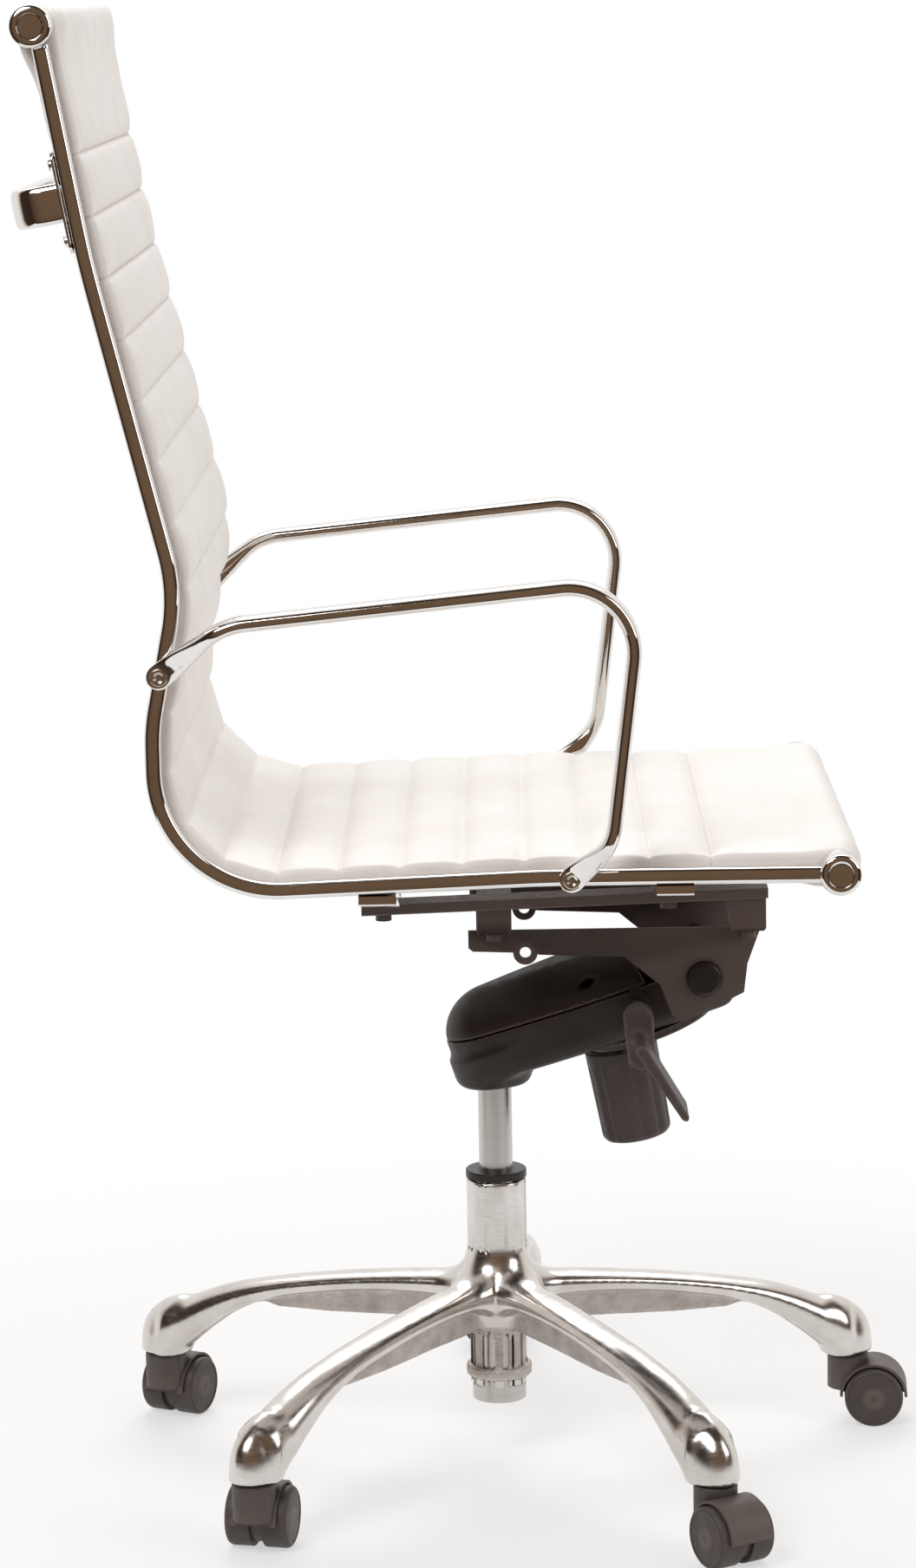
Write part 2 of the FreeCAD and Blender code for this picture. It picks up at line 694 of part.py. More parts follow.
def bar_solid():
    """Flat bar over the cross blocks, on the left side."""
    low, high = bar_rear, bar_front
    bar = prism([low, high, (high[0], high[1] + bar_thickness), (low[0], low[1] + bar_thickness)],
                bar_inner, bar_outer)
    return rounded_edges(bar, 1.5, lambda edge: not runs_along(edge, V(0, 1, 0))
                         and not runs_along(edge, V(0, 0, 1)))


def block_bolt(x):
    """Bolt up through a cross block into the bar, on the left side."""
    high = line_height(bar_rear, bar_front, x) + bar_thickness - 2.0
    head = upright(bolt_head_radius, plate_top - bolt_head_height, plate_top, x, block_bolt_y)
    return head.fuse(upright(bolt_shank_radius, plate_top - 1.0, high, x, block_bolt_y))


def spreader_bolt(x):
    """Bolt up through a bar into a spreader, on the left side."""
    low = line_height(bar_rear, bar_front, x)
    middle = (bar_inner + bar_outer) / 2
    head = upright(bolt_head_radius, low - bolt_head_height, low - 0.25, x, middle)
    return head.fuse(upright(bolt_shank_radius, low - 1.0, low + bar_thickness + 5.0, x, middle))


def make_carrier():
    bars = both_sides(bar_solid())
    bolts = []
    for x in (rear_block_x, front_block_x):
        bolts += both_sides(block_bolt(x))
    spreader_bolts = []
    for x in (rear_spreader_x, front_spreader_x):
        spreader_bolts += both_sides(spreader_bolt(x))

    for name, x in (("rear_cross_block", rear_block_x), ("front_cross_block", front_block_x)):
        top = line_height(bar_rear, bar_front, x) + 2.0
        half = block_length / 2
        block = box(x - half, x + half, -block_half, block_half, plate_top, top)
        block = rounded_edges(block, 3.0, lambda edge: runs_along(edge, V(0, 1, 0))
                              and edge.BoundBox.ZMax < plate_top + 1.0)
        block = block.cut(Part.makeCompound(list(bars)))
        middle = block.common(box(x - 40.0, x + 40.0, -bar_inner, bar_inner, top - 4.0, top + 4.0))
        block = block.cut(middle)
        for bolt in bolts:
            block = block.cut(bolt)
        parts[name] = block

    for name, bar in zip(("seat_bar_left", "seat_bar_right"), bars):
        for bolt in bolts + spreader_bolts:
            bar = bar.cut(bolt)
        parts[name] = bar
    parts["block_bolts"] = Part.makeCompound(bolts)
    parts["spreader_bolts"] = Part.makeCompound(spreader_bolts)

    for name, x in (("rear_spreader", rear_spreader_x), ("front_spreader", front_spreader_x)):
        parts[name] = spreader(x, bars, spreader_bolts)


def rail_underside(x):
    """Height of the rails' underside where they run level under the seat."""
    start, end = ((rail_route[4], rail_route[5]) if x < rail_route[5][0] else (rail_route[5], rail_route[6]))
    return line_height(start, end, x) - rail_thickness / 2


def spreader(x, bars, bolts):
    """Cast arm across the chair: flat on the bars, rising at each end to lie under the rails."""
    half = spreader_thickness / 2
    under = [rail_underside(x + side * spreader_width / 2) for side in (-1, 1)]
    end_height = min(under) - half
    pad_height = line_height(bar_rear, bar_front, x) + bar_thickness + half - 1.0
    end = rail_half + rail_width / 2
    shoulder = rail_half - 26.0
    route = [
        (-end, end_height, 0.0), (-shoulder, end_height, 16.0), (-spreader_pad_half, pad_height, 16.0),
        (spreader_pad_half, pad_height, 16.0), (shoulder, end_height, 16.0), (end, end_height, 0.0),
    ]
    strip = band(route, half, half, -spreader_width / 2, spreader_width / 2)
    strip.rotate(V(0, 0, 0), V(0, 0, 1), 90)
    strip.translate(V(x, 0, 0))
    strip = rounded_edges(strip, 2.0, lambda edge: runs_along(edge, V(1, 0, 0))
                          and edge.BoundBox.ZMax < end_height and abs(edge.BoundBox.Center.y) > end - 1.0)
    strip = strip.cut(Part.makeCompound(list(bars)))
    for bolt in bolts:
        strip = strip.cut(bolt)
    return strip


# ---------------------------------------------------------------- rails, rollers, sling
def bolt_holes_in_rail():
    """Shanks of the armrest bolts, which the rail is drilled for."""
    end = rail_half - rail_width / 2
    return [across(bolt_shank_radius, x, z, end, arm_half) for x, z in (arm_rear_bolt, arm_front_bolt)]


def handle_frame():
    """Placement of the handle's own frame: n backwards off the rail, t up along it."""
    lower, upper = rail_route[1], rail_route[0]
    along = V(upper[0] - lower[0], 0, upper[1] - lower[1])
    along.normalize()
    lean = math.degrees(math.atan2(-along.x, along.z))
    x = lower[0] + (upper[0] - lower[0]) * (handle_middle_z - lower[1]) / (upper[1] - lower[1])
    off_rail = V(-along.z, 0, along.x) * (rail_thickness / 2)
    return FreeCAD.Placement(V(x, 0, handle_middle_z) + off_rail, FreeCAD.Rotation(V(0, 1, 0), -lean))


def handle_screw(t):
    """Screw through the handle's flange into the rail, in the handle's frame, left side."""
    head = Part.makeCylinder(4.6, 2.8, V(-flange_thickness, handle_y, t), V(-1, 0, 0))
    head = rounded_edges(head, 1.6, lambda edge: edge.BoundBox.XMax < -flange_thickness - 2.7)
    shank = Part.makeCylinder(2.5, flange_thickness + 6.0, V(-flange_thickness, handle_y, t), V(1, 0, 0))
    return head.fuse(shank)


def make_rails():
    rail = band(rail_route, rail_thickness / 2, rail_thickness / 2,
                rail_half - rail_width / 2, rail_half + rail_width / 2)
    rim = [edge for edge in rail.Edges if not runs_along(edge, V(0, 1, 0))
           and not edge.BoundBox.YLength > rail_width - 1.0]
    ends = [edge for edge in rim if edge.Length < rail_thickness + 0.1
            and (edge.BoundBox.ZMin > rail_route[0][1] - 4.0 or edge.BoundBox.XMin > rail_route[-1][0] - 1.0)]
    rim = [edge for edge in rim if not any(edge.isSame(end) for end in ends)]
    rail = rail.makeFillet(rail_corner, rim)
    for x, z in (roller_top, roller_front):
        rail = rail.cut(across(roller_cap_radius, x, z, rail_half - 52.0, rail_half + 48.0))
    for hole in bolt_holes_in_rail():
        rail = rail.cut(hole)
    frame = handle_frame()
    for t in (-handle_screw_offset, handle_screw_offset):
        screw = handle_screw(t)
        screw.Placement = frame
        rail = rail.cut(screw)
    parts["rail_left"], parts["rail_right"] = both_sides(rail)


def make_rollers():
    """Cross bars that the sling wraps over at the head and the knees, with their end screws."""
    screws = []
    cap_in = rail_half - rail_width / 2
    head_depth = 3.5
    for name, (x, z) in (("top_roller", roller_top), ("front_roller", roller_front)):
        bar = across(roller_bar_radius, x, z, -cap_in, cap_in)
        for side in (-1, 1):
            cap = Part.makeCylinder(roller_cap_radius, roller_cap_out - cap_in, V(x, side * cap_in, z), V(0, side, 0))
            cap = rounded_edges(cap, 2.0, lambda edge: abs(edge.BoundBox.Center.y) > roller_cap_out - 0.1)
            seat = V(x, side * (roller_cap_out - head_depth), z)
            head = Part.makeCylinder(9.0, head_depth - 0.5, seat, V(0, side, 0))
            pocket = Part.makeCylinder(9.4, head_depth + 1.0, seat, V(0, side, 0))
            shank = Part.makeCylinder(bolt_shank_radius, 30.0, seat, V(0, -side, 0))
            screw = head.fuse(shank)
            socket = Part.makeCylinder(3.2, 2.2, V(x, side * (roller_cap_out - 2.6), z), V(0, side, 0))
            screws.append(screw.cut(socket))
            bar = bar.fuse(cap).cut(pocket).cut(shank)
        parts[name] = bar
    parts["roller_screws"] = Part.makeCompound(screws)


def make_sling():
    """Upholstered sling between the rails, wrapped over both rollers."""
    half = rail_half - rail_width / 2 - soft_gap
    route = list(rail_route)
    route[0] = (roller_top[0], roller_top[1], 0.0)
    route[-1] = (roller_front[0], roller_front[1], 0.0)
    sheet = band(route, sling_front_skin, sling_back_skin, -half, half)
    for x, z in (roller_top, roller_front):
        sheet = sheet.fuse(across(sling_loop_radius, x, z, -half, half))
    for x, z in (roller_top, roller_front):
        sheet = sheet.cut(across(roller_bar_radius + soft_gap, x, z, -half - 1.0, half + 1.0))
    parts["sling"] = sheet


def make_handle():
    """Grab handle behind the head: a flat tube bent to a U, with a flange on each rail."""
    reach = handle_reach - handle_bar / 2
    path = rounded_path([
        (V(-flange_thickness / 2, -handle_y, 0), 0.0), (V(-reach, -handle_y, 0), handle_bend),
        (V(-reach, handle_y, 0), handle_bend), (V(-flange_thickness / 2, handle_y, 0), 0.0),
    ])
    start = V(-flange_thickness / 2, -handle_y, 0)
    section = rounded_rectangle(start, V(0, 1, 0), V(0, 0, 1), handle_bar, handle_height, 4.0)
    grip = Part.Wire(path).makePipeShell([section], True, False)
    handle = grip
    for side in (-1, 1):
        flange = box(-flange_thickness, 0, side * handle_y - flange_width / 2, side * handle_y + flange_width / 2,
                     -flange_length / 2, flange_length / 2)
        flange = rounded_edges(flange, 5.0, lambda edge: runs_along(edge, V(1, 0, 0)))
        handle = handle.fuse(flange)
    screws = []
    for t in (-handle_screw_offset, handle_screw_offset):
        screws += both_sides(handle_screw(t))
    for screw in screws:
        handle = handle.cut(screw)
    frame = handle_frame()
    handle.Placement = frame
    parts["back_handle"] = handle
    group = Part.makeCompound(screws)
    group.Placement = frame
    parts["handle_screws"] = group


# ---------------------------------------------------------------- armrests
def arm_end(bolt, corner_start, direction):
    """Twisting end of an armrest: from the flat grip section to the upright tab at the bolt."""
    rail_face = rail_half + rail_width / 2
    tab_middle = rail_face + tab_thickness / 2
    centre = V(bolt[0], 0, bolt[1])
    span = corner_start - centre
    length = span.Length
    span.normalize()
    sections = []
    for share, blend in ((0.0, 0.0), (0.35, 0.22), (0.7, 0.72), (1.0, 1.0)):
        reach = share * length
        ease = blend
        head = span * (1 - share) + direction * share
        head.normalize()
        point = centre + span * reach
        across_dir = V(-head.z, 0, head.x)
        middle_y = tab_middle + (arm_half - tab_middle) * ease
        in_plane = 2 * tab_radius * 0.94 * (1 - ease) + arm_thickness * ease
        lateral = tab_thickness * (1 - ease) + arm_width * ease
        corner = 1.6 * (1 - ease) + arm_corner * ease
        centre_here = V(point.x, middle_y, point.z)
        sections.append(rounded_rectangle(centre_here, across_dir, V(0, 1, 0), in_plane, lateral, corner))
    loft = Part.makeLoft(sections, True, False)
    tab = Part.makeCylinder(tab_radius, tab_thickness, V(bolt[0], rail_face, bolt[1]), V(0, 1, 0))
    return loft.fuse(tab)


def arm_bolt(bolt):
    """Socket screw sunk in an armrest's tab, into the rail."""
    x, z = bolt
    face = rail_half + rail_width / 2 + tab_thickness
    head = across(arm_bolt_head_radius, x, z, face - 3.0, face + 0.6)
    socket = across(2.6, x, z, face - 1.6, face + 1.0)
    return head.fuse(across(bolt_shank_radius, x, z, rail_half - rail_width / 2 + 1.0, face - 2.0)).cut(socket)


def make_arms():
    points = [(V(x, arm_half, z), radius) for x, z, radius in arm_route]
    rear_tab = V(arm_rear_bolt[0], arm_half, arm_rear_bolt[1])
    front_tab = V(arm_front_bolt[0], arm_half, arm_front_bolt[1])
    edges = rounded_path([(rear_tab, 0.0)] + points + [(front_tab, 0.0)])
    bent = edges[1:-1]                                   # the runs to the tabs are the twisting ends
    start, end = bent[0].Vertexes[0].Point, bent[-1].Vertexes[-1].Point
    head = bent[0].tangentAt(bent[0].FirstParameter)
    tail = bent[-1].tangentAt(bent[-1].LastParameter)
    normal = V(-head.z, 0, head.x)
    section = rounded_rectangle(start, normal, V(0, 1, 0), arm_thickness, arm_width, arm_corner)
    grip = Part.Wire(bent).makePipeShell([section], True, False)
    rear = arm_end(arm_rear_bolt, V(start.x, 0, start.z), head)
    front = arm_end(arm_front_bolt, V(end.x, 0, end.z), tail * -1)
    arm = grip.fuse(rear).fuse(front)
    bolts = [arm_bolt(arm_rear_bolt), arm_bolt(arm_front_bolt)]
    for bolt in bolts:
        arm = arm.cut(bolt)
    for x, z in (arm_rear_bolt, arm_front_bolt):
        outward = rail_half + rail_width / 2 + tab_thickness
        arm = arm.cut(across(arm_bolt_head_radius, x, z, outward - 3.0, outward + 30.0))
    parts["arm_left"], parts["arm_right"] = both_sides(arm)
    group = []
    for bolt in bolts:
        group += both_sides(bolt)
    parts["arm_bolts"] = Part.makeCompound(group)


# ---------------------------------------------------------------- build and write
def main():
    make_base()
    make_gas_rod()
    for number, (angle, direction) in enumerate(zip(leg_angles(), caster_directions), start=1):
        make_caster(number, angle, direction)
    make_stems()
    make_cylinder()
    make_casing()
    make_tension()
    make_lever()
    make_shaft()
    make_plates()
    make_carrier()
    make_rails()
    make_rollers()
    make_sling()
    make_handle()
    make_arms()

    os.makedirs("parts", exist_ok=True)
    for name, shape in parts.items():
        placed = shape.copy()
        placed.translate(V(column_from_middle_x, column_from_middle_y, 0))
        placed.exportStep(os.path.join("parts", name + ".step"))
        size = placed.BoundBox
        print("%-22s solids %d valid %s volume %.0f  x %.1f..%.1f y %.1f..%.1f z %.1f..%.1f" % (
            name, len(placed.Solids), placed.isValid(), placed.Volume,
            size.XMin, size.XMax, size.YMin, size.YMax, size.ZMin, size.ZMax))
    whole = Part.makeCompound([shape.copy() for shape in parts.values()])
    whole.translate(V(column_from_middle_x, column_from_middle_y, 0))
    size = whole.BoundBox
    print("nodes", len(parts), "box x %.1f..%.1f y %.1f..%.1f z %.1f..%.1f" % (
        size.XMin, size.XMax, size.YMin, size.YMax, size.ZMin, size.ZMax))
    for label, point in (("pivot", pivot_axis()), ("lever", lever_axis()), ("knob", knob_axis()[0])):
        print(label, "%.3f %.3f" % (point.x + column_from_middle_x, point.z))


main()
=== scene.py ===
import json
import math

import bpy
import numpy as np
from mathutils import Matrix, Vector, noise


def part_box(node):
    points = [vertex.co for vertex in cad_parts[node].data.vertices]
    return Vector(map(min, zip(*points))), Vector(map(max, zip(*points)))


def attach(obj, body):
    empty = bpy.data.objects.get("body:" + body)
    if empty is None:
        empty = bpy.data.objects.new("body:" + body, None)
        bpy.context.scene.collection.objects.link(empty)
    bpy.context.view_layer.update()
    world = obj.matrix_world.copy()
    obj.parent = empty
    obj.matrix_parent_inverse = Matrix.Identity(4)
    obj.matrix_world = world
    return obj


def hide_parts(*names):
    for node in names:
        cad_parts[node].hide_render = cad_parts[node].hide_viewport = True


# Looks of a swivel office chair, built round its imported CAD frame.
# Lengths below are millimetres about the swivel column (+X to the front, +Z up);
# add_piece() turns them into the frame's metres.

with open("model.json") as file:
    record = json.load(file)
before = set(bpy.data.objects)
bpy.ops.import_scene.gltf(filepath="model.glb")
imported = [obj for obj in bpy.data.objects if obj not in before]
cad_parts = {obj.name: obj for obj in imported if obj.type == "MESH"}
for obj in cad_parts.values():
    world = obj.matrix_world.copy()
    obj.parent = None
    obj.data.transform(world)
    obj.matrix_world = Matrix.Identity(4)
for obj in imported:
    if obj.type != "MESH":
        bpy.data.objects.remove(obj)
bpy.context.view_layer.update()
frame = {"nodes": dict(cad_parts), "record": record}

# ---------------------------------------------------------------- places read from the frame
MM = 0.001
cylinder_low, cylinder_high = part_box("gas_cylinder")
column = Vector(((cylinder_low.x + cylinder_high.x) / 2, (cylinder_low.y + cylinder_high.y) / 2, 0.0))


def node_box(node):
    """Corners of a CAD node in millimetres about the column."""
    low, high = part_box(node)
    return (low - column) / MM, (high - column) / MM


def node_middle(node):
    low, high = node_box(node)
    return (low + high) / 2


top_roller = node_middle("top_roller")
front_roller = node_middle("front_roller")
sling_half = node_box("sling")[1].y
hub_top = node_box("base_star")[1].z
foot_floor = node_box("base_star")[0].z
hub_bottom = foot_floor + 2.0
rail_outer = node_box("rail_left")[1].y
rail_inner = node_box("rail_left")[0].y

# ---------------------------------------------------------------- driving sizes
first_leg = math.radians(15.1)
leg_turn = math.radians(72.0)
leg_reach = 311.0
foot_radius = 23.0
hub_radius = 25.0
bore_radius = 22.5

rail_bends = (                 # corners of the rails' middle line (x, z) and their bend radii
    (-297.0, 1024.0, 800.0),
    (-236.0, 773.0, 140.0),
    (-257.0, 668.0, 150.0),
    (-257.0, 536.0, 95.0),
    (40.0, 546.5, 900.0),
)
rail_route = ((-326.0, 1186.0, 0.0),) + rail_bends + ((262.0, 546.0, 0.0),)
sling_route = ((top_roller.x, top_roller.z, 0.0),) + rail_bends + ((front_roller.x, front_roller.z, 0.0),)
rail_thickness = 13.0
end_rib = 99.0                 # the double-width rib at each roller
rib_pitch = 49.0
seam_level = 10.5              # front of the pad at a seam, from the rails' middle line
rib_rise = 6.5
back_level = 4.0
back_rise = 3.0
wrap_radius = 15.4
wrap_padding = 6.5             # extra padding on the sitter's side of each roller
roller_hole = 9.8


# ---------------------------------------------------------------- materials
def node_tree(name):
    """New material with its nodes, links and Principled shader."""
    material = bpy.data.materials.new(name)
    material.use_nodes = True
    tree = material.node_tree
    return material, tree, tree.nodes["Principled BSDF"]


def object_coords(tree, stretch=(1.0, 1.0, 1.0)):
    coords = tree.nodes.new("ShaderNodeTexCoord")
    mapping = tree.nodes.new("ShaderNodeMapping")
    mapping.inputs["Scale"].default_value = stretch
    tree.links.new(coords.outputs["Object"], mapping.inputs["Vector"])
    return mapping.outputs["Vector"]


def noise_value(tree, scale, detail=3.0, stretch=(1.0, 1.0, 1.0), rough=0.55):
    texture = tree.nodes.new("ShaderNodeTexNoise")
    texture.inputs["Scale"].default_value = scale
    texture.inputs["Detail"].default_value = detail
    texture.inputs["Roughness"].default_value = rough
    tree.links.new(object_coords(tree, stretch), texture.inputs["Vector"])
    return texture.outputs["Fac"]


def ramp(tree, source, low, high, start=0.3, end=0.7):
    """Colour or grey value running from low to high as source goes from start to end."""
    node = tree.nodes.new("ShaderNodeValToRGB")
    node.color_ramp.elements[0].position = start
    node.color_ramp.elements[1].position = end
    node.color_ramp.elements[0].color = low if isinstance(low, tuple) else (low, low, low, 1.0)
    node.color_ramp.elements[1].color = high if isinstance(high, tuple) else (high, high, high, 1.0)
    tree.links.new(source, node.inputs["Fac"])
    return node.outputs["Color"]


def mixed(tree, share, first, second):
    """Colour mix of two sockets by a share socket."""
    node = tree.nodes.new("ShaderNodeMix")
    node.data_type = "RGBA"
    tree.links.new(share, node.inputs["Factor"])
    tree.links.new(first, node.inputs["A"])
    tree.links.new(second, node.inputs["B"])
    return node.outputs["Result"]


def bumped(tree, shader, height, distance, strength=1.0, after=None):
    """Bump from a height socket; distance in metres."""
    node = tree.nodes.new("ShaderNodeBump")
    node.inputs["Strength"].default_value = strength
    node.inputs["Distance"].default_value = distance
    tree.links.new(height, node.inputs["Height"])
    if after is not None:
        tree.links.new(after, node.inputs["Normal"])
    tree.links.new(node.outputs["Normal"], shader.inputs["Normal"])
    return node.outputs["Normal"]


def attribute(tree, name):
    node = tree.nodes.new("ShaderNodeAttribute")
    node.attribute_name = name
    return node.outputs["Fac"]


def cells(tree, scale, feature="F1", stretch=(1.0, 1.0, 1.0)):
    texture = tree.nodes.new("ShaderNodeTexVoronoi")
    texture.feature = feature
    texture.inputs["Scale"].default_value = scale
    tree.links.new(object_coords(tree, stretch), texture.inputs["Vector"])
    return texture.outputs["Distance"]


def white_leather():
    """Warm off-white upholstery leather: pebbled grain, soft mottling, painted shade in the seam creases."""
    material, tree, shader = node_tree("white_leather")
    mottle = ramp(tree, noise_value(tree, 9.0, 4.0), (0.865, 0.825, 0.79, 1.0), (0.915, 0.885, 0.86, 1.0))
    # brownish painted shade, mixed in by nearness to a seam to darken the leather in each seam crease
    seam_shade_colour = tree.nodes.new("ShaderNodeRGB")
    seam_shade_colour.outputs["Color"].default_value = (0.62, 0.49, 0.41, 1.0)
    seam = ramp(tree, attribute(tree, "seam"), 0.0, 0.8, 0.35, 1.0)
    tree.links.new(mixed(tree, seam, mottle, seam_shade_colour.outputs["Color"]), shader.inputs["Base Color"])
    tree.links.new(ramp(tree, noise_value(tree, 70.0), 0.40, 0.56), shader.inputs["Roughness"])
    grain = bumped(tree, shader, cells(tree, 850.0), 0.00022, 0.55)
    bumped(tree, shader, noise_value(tree, 240.0, 4.0), 0.0004, 0.4, grain)
    shader.inputs["Sheen Weight"].default_value = 0.12
    shader.inputs["Specular IOR Level"].default_value = 0.42
    return material


def chrome():
    """Mirror plating with faint polishing haze and smudges."""
    material, tree, shader = node_tree("chrome")
    tone = ramp(tree, noise_value(tree, 14.0), (0.74, 0.72, 0.70, 1.0), (0.83, 0.815, 0.80, 1.0))
    tree.links.new(tone, shader.inputs["Base Color"])
    tree.links.new(ramp(tree, noise_value(tree, 60.0, 5.0), 0.035, 0.10), shader.inputs["Roughness"])
    bumped(tree, shader, noise_value(tree, 35.0, 2.0), 0.0003, 0.05)
    shader.inputs["Metallic"].default_value = 1.0
    return material


def polished_aluminium():
    """Buffed casting: bright, finely brushed skin over the crowns, raw grey cast metal beneath."""
    material, tree, shader = node_tree("polished_aluminium")
    rough_cast = attribute(tree, "cast")
    bright = ramp(tree, noise_value(tree, 22.0), (0.60, 0.565, 0.53, 1.0), (0.74, 0.71, 0.68, 1.0))
    raw = ramp(tree, noise_value(tree, 55.0, 6.0), (0.43, 0.385, 0.35, 1.0), (0.62, 0.575, 0.535, 1.0))
    tree.links.new(mixed(tree, rough_cast, bright, raw), shader.inputs["Base Color"])
    buffed = ramp(tree, noise_value(tree, 130.0, 5.0, (1.0, 1.0, 4.0)), 0.17, 0.27)
    dull = ramp(tree, noise_value(tree, 90.0, 5.0), 0.42, 0.60)
    tree.links.new(mixed(tree, rough_cast, buffed, dull), shader.inputs["Roughness"])
    pits = ramp(tree, noise_value(tree, 420.0, 4.0), 0.0, 1.0)
    depth = tree.nodes.new("ShaderNodeMath")
    depth.operation = "MULTIPLY"
    tree.links.new(pits, depth.inputs[0])
    tree.links.new(rough_cast, depth.inputs[1])
    waves = bumped(tree, shader, noise_value(tree, 28.0, 1.0), 0.0006, 0.06)
    bumped(tree, shader, depth.outputs["Value"], 0.0007, 0.5, waves)
    shader.inputs["Metallic"].default_value = 1.0
    return material


def lathe_lines(tree, scale):
    """Fine turning lines round a vertical axis."""
    return noise_value(tree, scale, 2.0, (0.02, 0.02, 1.0), 0.7)


def satin_steel():
    """Ground steel tube: drawn lines round it."""
    material, tree, shader = node_tree("satin_steel")
    tone = ramp(tree, lathe_lines(tree, 300.0), (0.55, 0.52, 0.495, 1.0), (0.60, 0.57, 0.545, 1.0))
    tree.links.new(tone, shader.inputs["Base Color"])
    tree.links.new(ramp(tree, lathe_lines(tree, 300.0), 0.29, 0.33), shader.inputs["Roughness"])
    bumped(tree, shader, lathe_lines(tree, 1200.0), 0.00001, 0.05)
    shader.inputs["Metallic"].default_value = 1.0
    return material


def zinc_steel():
    """Zinc-plated screws and springs: cloudy, slightly yellow."""
    material, tree, shader = node_tree("zinc_steel")
    tone = ramp(tree, noise_value(tree, 180.0), (0.60, 0.56, 0.49, 1.0), (0.78, 0.76, 0.71, 1.0))
    tree.links.new(tone, shader.inputs["Base Color"])
    tree.links.new(ramp(tree, noise_value(tree, 300.0), 0.16, 0.30), shader.inputs["Roughness"])
    bumped(tree, shader, noise_value(tree, 600.0), 0.0001, 0.3)
    shader.inputs["Metallic"].default_value = 1.0
    return material


def dark_finish(name, low, high, rough, grain_scale, grain_depth, wear=0.0):
    """Black or grey plastic, paint or powder coat with a fine grain and paler worn edges."""
    material, tree, shader = node_tree(name)
    tone = ramp(tree, noise_value(tree, 26.0, 5.0), low, high)
    if wear > 0.0:
        geometry = tree.nodes.new("ShaderNodeNewGeometry")
        edge = ramp(tree, geometry.outputs["Pointiness"], 0.0, wear, 0.52, 0.58)
        scuff = tree.nodes.new("ShaderNodeRGB")
        scuff.outputs["Color"].default_value = (0.22, 0.17, 0.15, 1.0)
        tone = mixed(tree, edge, tone, scuff.outputs["Color"])
    tree.links.new(tone, shader.inputs["Base Color"])
    uneven = ramp(tree, noise_value(tree, 120.0), rough - 0.06, rough + 0.08)
    tree.links.new(uneven, shader.inputs["Roughness"])
    fine = bumped(tree, shader, noise_value(tree, grain_scale, 3.0), grain_depth, 0.45)
    bumped(tree, shader, noise_value(tree, grain_scale / 7.0, 2.0), grain_depth * 2.0, 0.12, fine)
    shader.inputs["Specular IOR Level"].default_value = 0.38
    return material


finishes = {
    "white_leather": white_leather(),
    "chrome": chrome(),
    "polished_aluminium": polished_aluminium(),
    "satin_steel": satin_steel(),
    "zinc_steel": zinc_steel(),
    "black_plastic": dark_finish("black_plastic", (0.016, 0.013, 0.012, 1.0), (0.030, 0.025, 0.023, 1.0),
                                 0.42, 1400.0, 0.00012),
    "knob_plastic": dark_finish("knob_plastic", (0.055, 0.041, 0.038, 1.0), (0.078, 0.061, 0.057, 1.0),
                                0.50, 1200.0, 0.00012, 0.3),
    "black_casting": dark_finish("black_casting", (0.019, 0.011, 0.009, 1.0), (0.032, 0.021, 0.018, 1.0),
                                 0.46, 700.0, 0.0002, 0.4),
    "black_steel": dark_finish("black_steel", (0.012, 0.007, 0.0055, 1.0), (0.020, 0.013, 0.011, 1.0),
                               0.40, 900.0, 0.00014, 0.5),
    "caster_nylon": dark_finish("caster_nylon", (0.055, 0.044, 0.041, 1.0), (0.085, 0.070, 0.066, 1.0),
                                0.48, 1000.0, 0.00016, 0.3),
}
slot_of_node = {subpart["node"]: subpart["material_slot"] for subpart in frame["record"]["subparts"]}


# ---------------------------------------------------------------- mesh helpers
def add_piece(name, points, faces, body, finish, stands_for=(), values=None):
    """Mesh piece from millimetre points about the column; values are per-point attributes."""
    mesh = bpy.data.meshes.new(name)
    metres = np.asarray(points, float) * MM + np.array(column)
    mesh.from_pydata([tuple(point) for point in metres], [], [tuple(int(i) for i in face) for face in faces])
    for label, amounts in (values or {}).items():
        layer = mesh.attributes.new(label, "FLOAT", "POINT")
        layer.data.foreach_set("value", np.asarray(amounts, np.float32))
    mesh.validate()
    mesh.shade_smooth()
    piece = bpy.data.objects.new(name, mesh)
    bpy.context.scene.collection.objects.link(piece)
    mesh.materials.append(finishes[finish])
    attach(piece, body)
    if stands_for:
        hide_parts(*stands_for)
    return piece


def smooth_min(first, second, width):
    overlap = np.maximum(width - np.abs(first - second), 0.0) / width
    return np.minimum(first, second) - overlap * overlap * width / 4


def smooth_max(first, second, width):
    return -smooth_min(-first, -second, width)


def curve_through(x, knots, values):
    """Smooth curve through knots (cubic between them), held level outside."""
    knots = np.asarray(knots, float)
    values = np.asarray(values, float)
    slopes = np.gradient(values, knots)
    x = np.clip(x, knots[0], knots[-1])
    index = np.clip(np.searchsorted(knots, x) - 1, 0, len(knots) - 2)
    width = knots[index + 1] - knots[index]
    t = (x - knots[index]) / width
    rise = values[index + 1] - values[index]
    bend_in = slopes[index] * width - rise
    bend_out = rise - slopes[index + 1] * width
    return values[index] + rise * t + t * (1 - t) * (bend_in * (1 - t) + bend_out * t)


